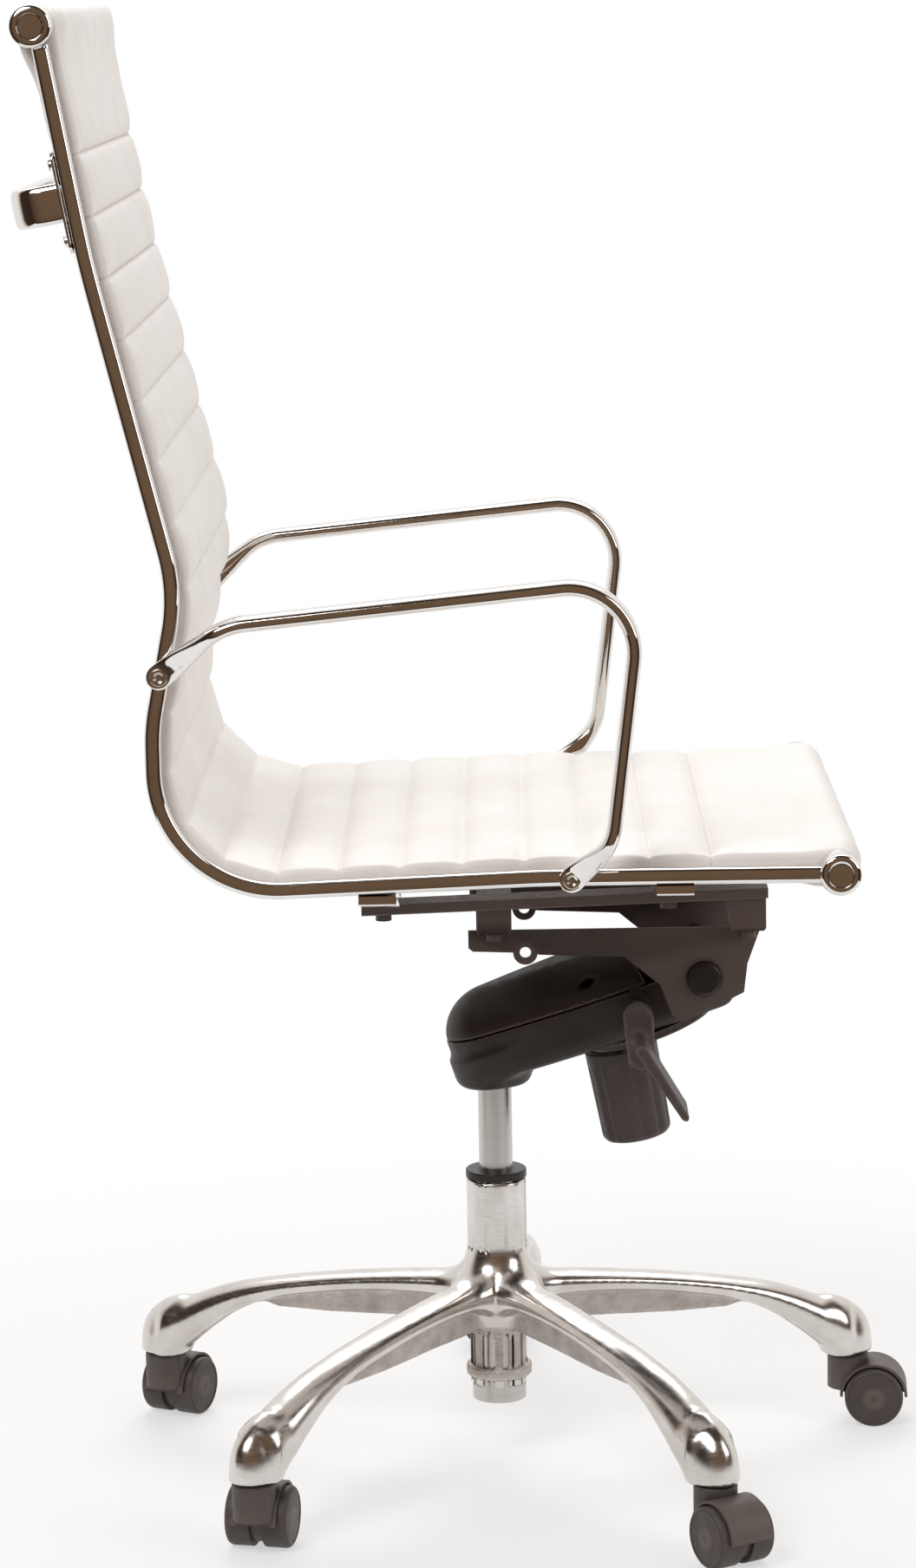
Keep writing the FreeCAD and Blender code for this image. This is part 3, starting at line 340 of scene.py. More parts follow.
def skin(field, low, high, step, pulls=4):
    """Closed quad mesh of the surface field(x, y, z) = 0, its points drawn onto the surface."""
    axes = [np.arange(a, b + step, step) for a, b in zip(low, high)]
    value = field(*np.meshgrid(*axes, indexing="ij"))
    inside = value < 0
    shape = [count - 1 for count in value.shape]
    total = np.zeros(shape + [3])
    count = np.zeros(shape)
    corners = [(i, j, k) for i in (0, 1) for j in (0, 1) for k in (0, 1)]
    for start in corners:
        for axis in range(3):
            if start[axis] == 1:
                continue
            end = list(start)
            end[axis] = 1
            part = tuple(slice(s, s + n) for s, n in zip(start, shape))
            other = tuple(slice(s, s + n) for s, n in zip(end, shape))
            crossing = inside[part] != inside[other]
            gap = np.where(crossing, value[part] - value[other], 1.0)
            share = np.where(crossing, value[part] / gap, 0.0)
            for k in range(3):
                along = share if k == axis else float(start[k])
                total[..., k] += np.where(crossing, along, 0.0)
            count += crossing
    active = np.argwhere(count > 0)
    index = np.full(shape, -1, int)
    index[tuple(active.T)] = np.arange(len(active))
    offset = total[tuple(active.T)] / count[tuple(active.T)][:, None]
    points = np.array(low, float) + (active + offset) * step
    faces = []
    for axis in range(3):
        a, b = (axis + 1) % 3, (axis + 2) % 3
        part = [slice(1, n) for n in shape]
        part[axis] = slice(0, shape[axis])
        other = list(part)
        other[axis] = slice(1, shape[axis] + 1)
        here = inside[tuple(part)]
        crossing = np.argwhere(here != inside[tuple(other)])
        base = crossing + 1
        base[:, axis] = crossing[:, axis]
        ring = []
        for da, db in ((-1, -1), (0, -1), (0, 0), (-1, 0)):
            cell = base.copy()
            cell[:, a] += da
            cell[:, b] += db
            ring.append(index[tuple(cell.T)])
        quads = np.stack(ring, 1)
        outward = here[tuple(crossing.T)]
        quads[~outward] = quads[~outward][:, ::-1]
        faces.append(quads)
    reach = 0.25
    for _ in range(pulls):
        there = field(*points.T)
        slope = np.stack([
            (field(*(points + reach * d).T) - field(*(points - reach * d).T)) / (2 * reach)
            for d in np.eye(3)
        ], 1)
        size = np.maximum((slope ** 2).sum(1), 1e-6)
        shift = np.clip(there / np.sqrt(size), -step, step) / np.sqrt(size)
        points = points - slope * shift[:, None]
    return points, np.concatenate(faces)


def route_samples(route, step):
    """Points, directions and distances along straight runs joined by tangent arcs."""
    corners = [Vector((x, z)) for x, z, _ in route]
    points = []
    here = corners[0]

    def run(start, end):
        count = max(1, round((end - start).length / step))
        points.extend(start.lerp(end, i / count) for i in range(count))

    for index in range(1, len(route) - 1):
        corner, radius = corners[index], route[index][2]
        back = (corners[index - 1] - corner).normalized()
        ahead = (corners[index + 1] - corner).normalized()
        half_turn = (math.pi - back.angle(ahead)) / 2
        start = corner + back * radius * math.tan(half_turn)
        end = corner + ahead * radius * math.tan(half_turn)
        centre = corner + (back + ahead).normalized() * radius / math.cos(half_turn)
        run(here, start)
        count = max(2, round(2 * half_turn * radius / step))
        spoke = start - centre
        sweep = spoke.angle_signed(end - centre)
        for i in range(count):
            turn = Matrix.Rotation(-sweep * i / count, 2)
            points.append(centre + turn @ spoke)
        here = end
    run(here, corners[-1])
    points.append(corners[-1])
    places = np.array([tuple(point) for point in points])
    gaps = np.hypot(*np.diff(places, axis=0).T)
    distance = np.concatenate([[0.0], np.cumsum(gaps)])
    heading = np.gradient(places, distance, axis=0)
    heading /= np.hypot(*heading.T)[:, None]
    return places, heading, distance


# ---------------------------------------------------------------- upholstery
def eased(value):
    """Smooth step from 0 to 1."""
    value = np.clip(value, 0.0, 1.0)
    return value * value * (3 - 2 * value)


def rib_shape(distance, length):
    """Height of the padding between the seams (0 at a seam, 1 on a crown), and nearness to a seam."""
    count = round((length - 2 * end_rib) / rib_pitch)
    pitch = (length - 2 * end_rib) / count
    inner = (distance - end_rib) / pitch
    share = inner - np.floor(inner)
    to_seam = np.minimum(share, 1 - share) * pitch
    before = end_rib - distance
    after = distance - (length - end_rib)
    to_seam = np.where(before > 0, before, np.where(after > 0, after, to_seam))
    swell = np.clip(to_seam / (pitch / 2), 0.0, 1.0)
    crown = (1 - (1 - swell) ** 2.7) ** 0.72
    return crown, np.exp(-to_seam / 1.3), to_seam


def make_sling():
    """Padded leather sling: crossways ribs in front, flatter ones behind, wrapped over both rollers."""
    places, heading, distance = route_samples(sling_route, 3.0)
    length = distance[-1]
    normal = np.stack([-heading[:, 1], heading[:, 0]], 1)
    crown, seam, to_seam = rib_shape(distance, length)
    from_end = np.minimum(distance, length - distance)
    near_wrap = eased(1 - from_end / 34.0)
    front = (seam_level + rib_rise * crown) * (1 - near_wrap) + (wrap_radius + wrap_padding) * near_wrap
    behind = (back_level + back_rise * crown) * (1 - eased(1 - from_end / 52.0))
    behind += wrap_radius * eased(1 - from_end / 52.0)

    outline, spine, rim, level, seams, gaps = [], [], [], [], [], []

    def follow(indices, side, offsets):
        for i in indices:
            outline.append(normal[i] * side)
            rim.append(places[i])
            level.append(offsets[i])
            seams.append(seam[i])
            gaps.append(to_seam[i])
            past = from_end[i]
            end = places[0] if distance[i] < length / 2 else places[-1]
            if past < roller_hole:
                inward = places[i] - end
                spine.append(end + inward + normal[i] * side * math.sqrt(roller_hole ** 2 - past ** 2))
            else:
                spine.append(places[i])

    def wrap(centre, start, turn, from_front):
        for step in range(1, 24):
            angle = turn * step / 24
            turned = Matrix.Rotation(angle, 2) @ Vector(start)
            outline.append(np.array(turned))
            rim.append(centre)
            turned_share = step / 24 if from_front else 1 - step / 24
            level.append(wrap_radius + wrap_padding * (1 + math.cos(math.pi * turned_share)) / 2)
            seams.append(0.0)
            gaps.append(50.0)
            spine.append(centre + np.array(turned) * roller_hole)

    count = len(places)
    follow(range(count), 1, front)
    wrap(places[-1], normal[-1], -math.pi, True)
    follow(range(count - 1, -1, -1), -1, behind)
    wrap(places[0], -normal[0], -math.pi, False)

    outline, rim, level = np.array(outline), np.array(rim), np.array(level)
    spine, seams, gaps = np.array(spine), np.array(seams), np.array(gaps)

    edge_round = 5.0
    edge_angles = np.radians(np.arange(0, 91, 15))
    edge = sling_half - edge_round * (1 - np.sin(edge_angles))
    middle = np.linspace(-edge[0], edge[0], 48)[1:-1]
    columns = np.concatenate([-edge[::-1], middle, edge])
    ring_count = len(outline)
    points, seam_value = [], []
    for y in columns:
        inset = max(0.0, edge_round - (sling_half - abs(y)))
        drop = edge_round - math.sqrt(max(edge_round ** 2 - inset ** 2, 0.0))
        shoulder = eased(np.array((sling_half - abs(y)) / 26.0))
        for i in range(ring_count):
            full = level[i]
            flat = min(full, seam_level + 2.5)
            reach = flat + (full - flat) * (0.35 + 0.65 * shoulder)
            reach -= drop * min(1.0, full / (edge_round + 3.0))
            at = Vector((rim[i][0] * 0.04, y * 0.04, rim[i][1] * 0.04))
            soft = noise.noise(at) * 0.9
            pucker = noise.noise(Vector((at.x * 1.5, y * 0.16, at.z * 1.5))) * 1.5
            reach += (soft + pucker * math.exp(-gaps[i] / 9.0)) * (shoulder if full > 3 else 0)
            spot = rim[i] + outline[i] * reach
            points.append((spot[0], y, spot[1]))
            seam_value.append(seams[i])
    side_count = len(columns)
    faces = []
    for c in range(side_count - 1):
        for i in range(ring_count):
            after = (i + 1) % ring_count
            here, there = c * ring_count, (c + 1) * ring_count
            faces.append((here + i, here + after, there + after, there + i))
    ends = []
    for sign, c in ((-1, 0), (1, side_count - 1)):
        keys = {}
        lookup = []
        for i in range(ring_count):
            key = (round(spine[i][0], 3), round(spine[i][1], 3))
            if key not in keys:
                keys[key] = len(points)
                points.append((spine[i][0], sign * sling_half, spine[i][1]))
                seam_value.append(0.0)
            lookup.append(keys[key])
        ends.append(lookup)
        for i in range(ring_count):
            after = (i + 1) % ring_count
            quad = [c * ring_count + after, c * ring_count + i, lookup[i], lookup[after]]
            if sign > 0:
                quad.reverse()
            corners = list(dict.fromkeys(quad))
            if len(corners) > 2:
                faces.append(corners)
    on_hole = [abs(math.dist(spine[i], rim_end) - roller_hole) < 0.05
               for i in range(ring_count)
               for rim_end in (places[0] if math.dist(spine[i], places[0]) < 60 else places[-1],)]
    for i in range(ring_count):
        after = (i + 1) % ring_count
        if on_hole[i] and on_hole[after] and ends[0][i] != ends[0][after]:
            faces.append((ends[0][after], ends[0][i], ends[1][i], ends[1][after]))
    # nearness to a seam, which the leather uses to paint shade into the seam creases
    values = {"seam": seam_value}
    piece = add_piece("ribbed_sling", points, faces, "seat", "white_leather", ("sling",), values)
    return piece


# ---------------------------------------------------------------- five-star base
leg_stations = (               # reach, top, bottom and half-width of a leg's polished crown
    (0.0, 160.0, 134.0, 19.0),
    (60.0, 156.0, 138.0, 18.0),
    (116.0, 150.0, 135.5, 16.8),
    (163.0, 143.5, 129.0, 16.8),
    (206.0, 136.0, 119.5, 17.6),
    (240.0, 128.5, 104.0, 19.0),
    (265.0, 120.5, 86.0, 20.5),
    (288.0, 110.5, 68.0, 21.8),
    (306.0, 101.0, 62.0, 22.2),
)


def base_fields(x, y, z):
    """Distance-like fields of the polished crowns and hub, and of the raw webs and boss."""
    radius = np.hypot(x, y)
    angle = np.arctan2(y, x) - first_leg
    angle = (angle + leg_turn / 2) % leg_turn - leg_turn / 2
    along = radius * np.cos(angle)
    side = np.abs(radius * np.sin(angle))
    reach, top, bottom, half = (np.array(row) for row in zip(*leg_stations))
    high = curve_through(along, reach, top)
    low = curve_through(along, reach, bottom)
    wide = curve_through(along, reach, half)
    middle = (high + low) / 2
    deep = (high - low) / 2
    lift = (z - middle) / deep
    bulge = np.where(lift > 0, 2.3, 3.4)
    crown = ((side / wide) ** bulge + np.abs(lift) ** bulge) ** (1 / bulge) - 1
    crown = crown * np.minimum(wide, deep)
    crown = smooth_max(crown, along - reach[-1], 6.0)
    from_foot = np.hypot(along - leg_reach, side)
    toe = np.sqrt(((along - 290.0) / 45.5) ** 2 + (side / 24.5) ** 2 + ((z - foot_floor) / 50.0) ** 2) - 1
    foot = smooth_max(toe * 24.0, from_foot - foot_radius - 0.6, 9.0)
    foot = smooth_max(foot, foot_floor - z, 2.5)
    polished = smooth_min(crown, foot, 9.0)
    hub = smooth_max(radius - hub_radius, z - hub_top, 2.0)
    hub = smooth_max(hub, 120.0 - z, 4.0)
    polished = smooth_min(polished, hub, 30.0)
    polished = smooth_max(polished, z - hub_top, 2.0)
    keel = np.interp(along, (15.0, 87.0, 154.0, 201.0, 236.0), (116.0, 114.0, 111.0, 111.0, 121.0))
    draft = 4.4 + np.clip(z - keel, 0.0, 40.0) * 0.07
    web = smooth_max(side - draft, keel - z, 3.0)
    web = smooth_max(web, along - 234.0, 4.0)
    web = smooth_max(web, z - middle, 1.0)
    boss = smooth_max(radius - (hub_radius - 1.0), np.abs(z - 104.0) - 41.0, 2.0)
    collar = smooth_max(radius - (hub_radius + 2.5), np.abs(z - hub_bottom - 12.0) - 4.5, 1.5)
    raw = smooth_min(smooth_min(web, boss, 9.0), collar, 1.5)
    return polished, raw, radius, from_foot


def base_field(x, y, z):
    polished, raw, radius, _ = base_fields(x, y, z)
    return smooth_max(smooth_min(polished, raw, 5.0), bore_radius - radius, 0.8)


def make_base():
    """Star in one skin; the "cast" attribute marks the raw webs and undersides for the material."""
    reach = leg_reach + foot_radius + 4.0
    points, faces = skin(base_field, (-reach, -reach, foot_floor - 4.0), (reach, reach, hub_top + 5.0), 2.4)
    polished, raw, _, from_foot = base_fields(*points.T)
    nudge = np.array((0.0, 0.0, 1.5))
    lower = base_field(*(points - nudge).T) > base_field(*(points + nudge).T) + 2.2
    underneath = np.where(lower & (from_foot > foot_radius + 4.0), 1.0, 0.0)
    cast = np.maximum(eased((polished - raw + 1.2) / 2.4), underneath)
    cast = np.where(points[:, 2] < hub_bottom + 8.0, 0.0, cast)
    add_piece("cast_star", points, faces, "base", "polished_aluminium", ("base_star",), {"cast": cast})


# ---------------------------------------------------------------- swept and turned shapes
def rounded_section(half_first, half_second, power, count=36, hollow=0.0):
    """Superellipse outline; hollow sinks its +second side by that much in the middle."""
    angles = np.arange(count) * 2 * math.pi / count
    cosine, sine = np.cos(angles), np.sin(angles)
    first = half_first * np.sign(cosine) * np.abs(cosine) ** (2 / power)
    second = half_second * np.sign(sine) * np.abs(sine) ** (2 / power)
    dish = np.clip(1 - (first / half_first) ** 2, 0, 1) ** 1.5
    second = np.where(second > 0, second - hollow * dish * np.abs(sine) ** 0.5, second)
    return np.stack([first, second], 1)


def swept(centres, first_axes, second_axes, sections):
    """Tube through centres with a section at each, closed by fans at both ends."""
    points = []
    for centre, first, second, section in zip(centres, first_axes, second_axes, sections):
        points.append(centre + section[:, :1] * first + section[:, 1:] * second)
    points = np.concatenate(points)
    count = len(sections[0])
    faces = []
    for ring in range(len(centres) - 1):
        for i in range(count):
            after = (i + 1) % count
            here, there = ring * count, (ring + 1) * count
            faces.append((here + i, here + after, there + after, there + i))
    start_middle = len(points)
    points = np.concatenate([points, [centres[0]], [centres[-1]]])
    last = (len(centres) - 1) * count
    for i in range(count):
        after = (i + 1) % count
        faces.append((start_middle, after, i))
        faces.append((start_middle + 1, last + i, last + after))
    return points, faces


def turned(profile, centre, axis, count=64, ripple=None):
    """Solid of revolution; profile is (radius, height) pairs from axis to axis."""
    axis = Vector(axis).normalized()
    side = axis.orthogonal().normalized()
    other = axis.cross(side)
    points, faces = [], []
    for radius, height in profile:
        for i in range(count):
            angle = 2 * math.pi * i / count
            wide = radius if ripple is None else radius + ripple(angle, radius, height)
            spoke = side * math.cos(angle) + other * math.sin(angle)
            points.append(Vector(centre) + axis * height + spoke * wide)
    for ring in range(len(profile) - 1):
        for i in range(count):
            after = (i + 1) % count
            here, there = ring * count, (ring + 1) * count
            faces.append((here + i, here + after, there + after, there + i))
    return np.array([tuple(point) for point in points]), faces


def rounded_profile(corners):
    """(radius, height, rounding) corners to a profile with each corner turned by a quarter-like arc."""
    profile = []
    for index, (radius, height, rounding) in enumerate(corners):
        here = Vector((radius, height))
        if rounding == 0:
            profile.append((radius, height))
            continue
        before = (Vector(corners[index - 1][:2]) - here).normalized()
        after = (Vector(corners[index + 1][:2]) - here).normalized()
        for step in range(7):
            share = step / 6
            start = here + before * rounding * (1 - share) ** 2
            spot = start + after * rounding * share ** 2
            profile.append((spot.x, spot.y))
    return profile


def mirrored(points, faces):
    """The same shape on the chair's other side."""
    return np.array(points) * (1, -1, 1), [tuple(reversed(face)) for face in faces]


def join_shapes(shapes):
    """Several shapes as one array of points and one list of faces."""
    points, faces, start = [], [], 0
    for shape_points, shape_faces in shapes:
        points.append(np.asarray(shape_points, float))
        faces += [tuple(int(i) + start for i in face) for face in shape_faces]
        start += len(shape_points)
    return np.concatenate(points), faces


# ---------------------------------------------------------------- rails, rollers, handle, armrests
def make_rails():
    """Bent side rails of flat bar with rounded edges."""
    places, heading, _ = route_samples(rail_route, 4.0)
    middle = (rail_inner + rail_outer) / 2
    centres = np.array([(x, middle, z) for x, z in places])
    across = np.array([(-dz, 0.0, dx) for dx, dz in heading])
    outward = np.tile((0.0, 1.0, 0.0), (len(places), 1))
    section = rounded_section(rail_thickness / 2, (rail_outer - rail_inner) / 2, 3.6)
    left = swept(centres, across, outward, [section] * len(places))
    add_piece("chrome_rail_left", *left, "seat", "chrome", ("rail_left",))
    add_piece("chrome_rail_right", *mirrored(*left), "seat", "chrome", ("rail_right",))


def make_rollers():
    """Cross bars with domed ring caps, each bored for its end screw."""
    cap_low, cap_high = node_box("top_roller")
    cap_out = cap_high.y
    cap_radius = (cap_high.z - cap_low.z) / 2
    for name, place in (("top_roller", top_roller), ("front_roller", front_roller)):
        ends = []
        for sign in (-1, 1):
            profile = rounded_profile([
                (0.0, 0.0, 0), (9.5, 0.0, 0), (9.5, rail_inner, 0), (cap_radius, rail_inner, 0.8),
                (cap_radius, cap_out - 1.6, 1.8), (12.6, cap_out, 1.4), (9.6, cap_out - 0.6, 0.6),
                (9.5, cap_out - 3.4, 0), (0.0, cap_out - 3.4, 0)])
            ends.append(turned(profile, (place.x, 0.0, place.z), (0, sign, 0)))
        points, faces = join_shapes(ends)
        add_piece(name + "_bar", points, faces, "seat", "chrome", (name,))


def make_arms():
    """Loop armrests: a flat rounded grip whose ends twist into dished upright tabs."""
    arm_out = node_box("arm_left")[1].y
    arm_middle = 281.0
    tab = 10.0
    tab_half = 3.0
    grip_thin, grip_wide = 6.0, arm_out - arm_middle
    rear, front = (-250.0, 709.0), (63.3, 546.3)
    route = (rear + (0.0,), (-199.0, 750.2, 55.0), (119.8, 781.0, 50.0), (94.5, 577.0, 45.0), front + (0.0,))
    places, heading, distance = route_samples(route, 3.0)
    tip_steps = 9
    tip = np.linspace(-tab, -0.4, tip_steps)
    places = np.concatenate([places[0] + heading[0] * tip[:, None], places,
                             places[-1] - heading[-1] * tip[::-1, None]])
    heading = np.concatenate([np.tile(heading[0], (tip_steps, 1)), heading,
                              np.tile(heading[-1], (tip_steps, 1))])
    length = distance[-1]
    distance = np.concatenate([tip, distance, length - tip[::-1]])
    rear_run, front_run = 62.0, 46.0
    sections, centres = [], []
    for place, along in zip(places, distance):
        from_end, run = (along, rear_run) if along < length / 2 else (length - along, front_run)
        ease = float(eased(np.array(from_end / run)))
        thick = tab * (1 - ease) + grip_thin * ease
        if from_end < 0:
            thick = math.sqrt(max(tab ** 2 - from_end ** 2, 0.3))
        half = tab_half * (1 - ease) + grip_wide * ease
        dish = 2.2 * float(eased(np.array((from_end - 8.0) / 14.0))) * (1 - ease)
        sections.append(rounded_section(thick, half, 4.2 - 1.2 * ease, 40, dish))
        centres.append((place[0], (rail_outer + tab_half) * (1 - ease) + arm_middle * ease, place[1]))
    across = np.array([(-dz, 0.0, dx) for dx, dz in heading])
    outward = np.tile((0.0, 1.0, 0.0), (len(places), 1))
    left = swept(np.array(centres), across, outward, sections)
    add_piece("armrest_left", *left, "seat", "chrome", ("arm_left",))
    add_piece("armrest_right", *mirrored(*left), "seat", "chrome", ("arm_right",))
    screws = []
    for x, z in (rear, front):
        face = rail_outer + 2 * tab_half
        profile = rounded_profile([
            (0.0, -4.0, 0), (6.8, -4.0, 0), (6.8, 0.9, 0.8), (4.2, 0.9, 0.3), (3.9, 0.3, 0.2), (2.7, 0.3, 0),
            (2.6, -2.0, 0), (0.0, -2.0, 0)])
        screw = turned(profile, (x, face, z), (0, 1, 0), 36)
        screws += [screw, mirrored(*screw)]
    add_piece("armrest_screws", *join_shapes(screws), "seat", "zinc_steel", ("arm_bolts",))


def make_handle():
    """Grab handle: a soft-edged flat tube bent to a U between the rails, with screwed flanges."""
    lower, upper = Vector(rail_route[1][:2]), Vector(rail_route[0][:2])
    along = (upper - lower).normalized()
    middle_z = 1071.0
    base = lower + (upper - lower) * (middle_z - lower.y) / (upper.y - lower.y)
    off = Vector((-along.y, along.x))
    base += off * rail_thickness / 2
    reach, bend, half = 35.0, 18.0, 252.0
    route = ((-half, 0.0, 0.0), (-half, reach, bend), (half, reach, bend), (half, 0.0, 0.0))
    places, heading, _ = route_samples(route, 3.0)
    out = np.array((off.x, 0.0, off.y))
    up = np.array((along.x, 0.0, along.y))
    origin = np.array((base.x, 0.0, base.y))
    centres = np.array([origin + out * n + np.array((0.0, y, 0.0)) for y, n in places])
    across = np.array([np.array((0.0, -dn, 0.0)) + out * dy for dy, dn in heading])
    section = rounded_section(6.0, 15.0, 3.6)
    shapes = [swept(centres, across, np.tile(up, (len(places), 1)), [section] * len(places))]
    for sign in (-1, 1):
        spread = np.linspace(-39.0, 39.0, 27)
        edge = [math.sqrt(max(1 - max(0.0, (abs(t) - 32.0) / 7.0) ** 2, 0.02)) for t in spread]
        ribs = [origin + out * 1.5 + up * t + np.array((0.0, sign * half, 0.0)) for t in spread]
        plates = [rounded_section(1.5, 7.0 * share, 5.0, 24) for share in edge]
        side = np.tile((0.0, -1.0, 0.0), (len(ribs), 1))
        shapes.append(swept(np.array(ribs), np.tile(out, (len(ribs), 1)), side, plates))
    add_piece("grab_handle", *join_shapes(shapes), "seat", "chrome", ("back_handle",))


# ---------------------------------------------------------------- tilt mechanism
lean = math.radians(19.0)
rim_height = 374.0
nose_radius = 42.0
casing_half = 60.0
casing_front = 198.0
casing_depth = 41.0
cover_front = 134.0
cover_wall = 4.4
cylinder_bore = 14.0
cover_height = 32.0
cover_inset = 17.0


def in_mechanism(x, z):
    """Forward and upward distances in the mechanism's own leaning frame."""
    raised = z - rim_height
    return x * math.cos(lean) + raised * math.sin(lean), raised * math.cos(lean) - x * math.sin(lean)


def casing_outline(u, y, inset):
    """Plan distance to the casing's outline: round nose, sides that widen and then run straight."""
    spread = math.atan2(casing_half - nose_radius, 75.0)
    across = np.abs(y)
    past_nose = u * math.cos(spread) + across * math.sin(spread)
    side = across * math.cos(spread) - u * math.sin(spread) - nose_radius
    nose = np.hypot(u, y) - nose_radius
    flank = np.where(past_nose < 0, nose, side)
    return smooth_max(flank, across - casing_half, 14.0) + inset


def casing_field(x, y, z):
    u, w = in_mechanism(x, z)
    plan = casing_outline(u, y, 0.0)
    outside = smooth_max(plan, u - casing_front, 6.0)
    tray = smooth_max(outside, -casing_depth - w, 15.0)
    cone = np.hypot(x, y) - (29.0 + np.clip(z - 323.0, 0, 60) * 0.30)
    nose = smooth_max(smooth_max(cone, 323.0 - z, 7.0), w + 20.0, 2.0)
    shell = smooth_min(tray, nose, 12.0)
    shell = smooth_max(shell, w + 0.6, 1.2)
    hollow = smooth_max(smooth_max(plan + 4.0, u - casing_front + 4.0, 3.0), -casing_depth + 4.0 - w, 8.0)
    shell = smooth_max(shell, -hollow, 1.0)
    socket = smooth_max(np.hypot(x, y) - 21.0, z - 376.0, 1.5)
    socket = smooth_max(socket, 330.0 - z, 2.0)
    shell = smooth_min(shell, socket, 4.0)
    pivot_u, pivot_w = 180.5, -4.0
    lug = smooth_max(np.hypot(u - pivot_u, w - pivot_w) - 13.0, np.abs(np.abs(y) - 55.0) - 5.0, 2.0)
    shell = smooth_min(shell, lug, 3.0)
    shell = smooth_max(shell, 8.1 - np.hypot(u - pivot_u, w - pivot_w), 0.8)
    return smooth_max(shell, cylinder_bore - np.hypot(x, y), 0.8)


def cover_field(x, y, z):
    u, w = in_mechanism(x, z)
    climb = np.clip(w, 0.0, cover_height) / cover_height
    plan = casing_outline(u, y, 0.8) + cover_inset * climb ** 1.5 * 0.9
    dome = smooth_max(plan, w - cover_height - 1.0, 26.0)
    outside = smooth_max(dome, u - cover_front + 7.0 * climb, 7.0)
    outside = smooth_max(outside, 0.6 - w, 1.2)
    shell = smooth_max(outside, -dome - cover_wall, 0.8)
    pocket_across = (w - 17.0) * 0.9 - (u - 88.0) * 0.25
    pocket = np.sqrt(((u - 88.0) / 11.0) ** 2 + (pocket_across / 4.5) ** 2 + ((np.abs(y) - 54.0) / 9.0) ** 2)
    return smooth_max(shell, (1 - pocket) * 5.0, 1.2)


def make_mechanism():
    """Cast tray below the seam and thin domed cover above it."""
    low, high = node_box("mechanism_casing")
    pad = Vector((4.0, 4.0, 4.0))
    points, faces = skin(casing_field, low - pad, high + pad, 1.9)
    add_piece("casing_tray", points, faces, "lift", "black_casting", ("mechanism_casing",))
    low, high = node_box("mechanism_cover")
    points, faces = skin(cover_field, low - pad, high + pad, 1.6)
    add_piece("casing_cover", points, faces, "lift", "black_casting", ("mechanism_cover",))


def make_knob():
    """Tension knob: soft flutes that fade towards the domed end."""
    tilt = math.radians(10.0)
    top = (105.5, 0.0, 353.0)
    down = (math.sin(tilt), 0.0, -math.cos(tilt))

    def flutes(angle, radius, height):
        if radius < 20.0 or height < 6.0:
            return 0.0
        depth = 1.5 * min(1.0, (height - 6.0) / 12.0) * min(1.0, (78.0 - height) / 7.0)
        return -depth * (0.5 + 0.5 * math.cos(12 * angle)) ** 2.2

    walls = [(30.5 - 1.9 * h / 78.0, h, 0) for h in range(6, 70, 4)]
    profile = rounded_profile([
        (0.0, 4.0, 0), (26.0, 4.0, 0), (26.4, 0.0, 0), (30.6, 0.0, 1.2)] + walls
        + [(28.7, 78.0, 7.0), (15.0, 78.6, 0), (0.0, 78.8, 0)])
    points, faces = turned(profile, top, down, 144, flutes)
    add_piece("fluted_knob", points, faces, "tension_knob", "knob_plastic", ("tension_knob",))


def paddle_field(x, y, z):
    """Lever end: a hanging rounded arm, and a flat blade that slopes forward and down from it."""
    rod_x, rod_z = 117.4, 401.7
    arm_y, blade_y = -112.0, -139.0
    blade_drop = 14.0
    hang = np.clip(rod_z - z, 0.0, 31.0)
    arm = np.hypot(x - rod_x - hang * 0.06, z - rod_z + hang) - (12.5 - hang * 0.06)
    arm = smooth_max(arm, np.abs(y - arm_y) - 8.0, 5.0)
    along = np.array((38.0, -61.0)) / math.hypot(38.0, 61.0)
    from_root = (x - rod_x) * along[0] + (z - rod_z + blade_drop) * along[1]
    off_blade = (x - rod_x) * -along[1] + (z - rod_z + blade_drop) * along[0]
    thin = 4.6 - np.clip(from_root, 0.0, 72.0) * 0.022
    flat = smooth_max(np.abs(off_blade) - thin, np.abs(y - blade_y) - 24.5, 3.0)
    flat = smooth_max(flat, np.abs(from_root - 34.0) - 37.5, 6.0)
    return smooth_min(arm, flat, 7.0)


def make_lever():
    """Paddle on the outer end of the lever rod."""
    low, high = node_box("lever_paddle")
    pad = Vector((3.0, 3.0, 3.0))
    points, faces = skin(paddle_field, low - pad, high + pad, 1.3)
    add_piece("lever_handle", points, faces, "lever", "knob_plastic", ("lever_paddle",))


# ---------------------------------------------------------------- casters
def make_wheels():
    """Twin wheels with a domed face inside a raised rim, one piece on each wheel's body."""
    radius, width = 25.0, 21.0
    for number in range(1, 6):
        for side in "ab":
            node = "caster_%d_wheel_%s" % (number, side)
            other = "caster_%d_wheel_%s" % (number, "b" if side == "a" else "a")
            middle = node_middle(node)
            outward = (middle - node_middle(other)).normalized()
            inner = middle - outward * width / 2
            profile = rounded_profile([
                (4.1, 8.0, 0), (8.0, 8.0, 0), (8.0, 0.0, 0.8), (9.5, 0.0, 0), (9.5, 8.0, 0), (19.0, 8.0, 0),
                (19.0, 0.0, 0.8), (radius, 0.0, 1.2), (radius, width - 1.2, 3.2), (21.4, width, 0.8),
                (20.6, width - 0.9, 0.6), (19.0, width - 0.7, 0), (12.0, width - 0.1, 0),
                (6.0, width + 0.1, 0), (0.0, width + 0.15, 0)])
            points, faces = turned(profile, inner, outward, 56)
            add_piece("wheel_%d_%s" % (number, side), points, faces, node, "caster_nylon", (node,))


# ---------------------------------------------------------------- finishes of the CAD pieces
def finish_cad_nodes():
    for name, node in frame["nodes"].items():
        node.data.materials.clear()
        node.data.materials.append(finishes[slot_of_node[name]])


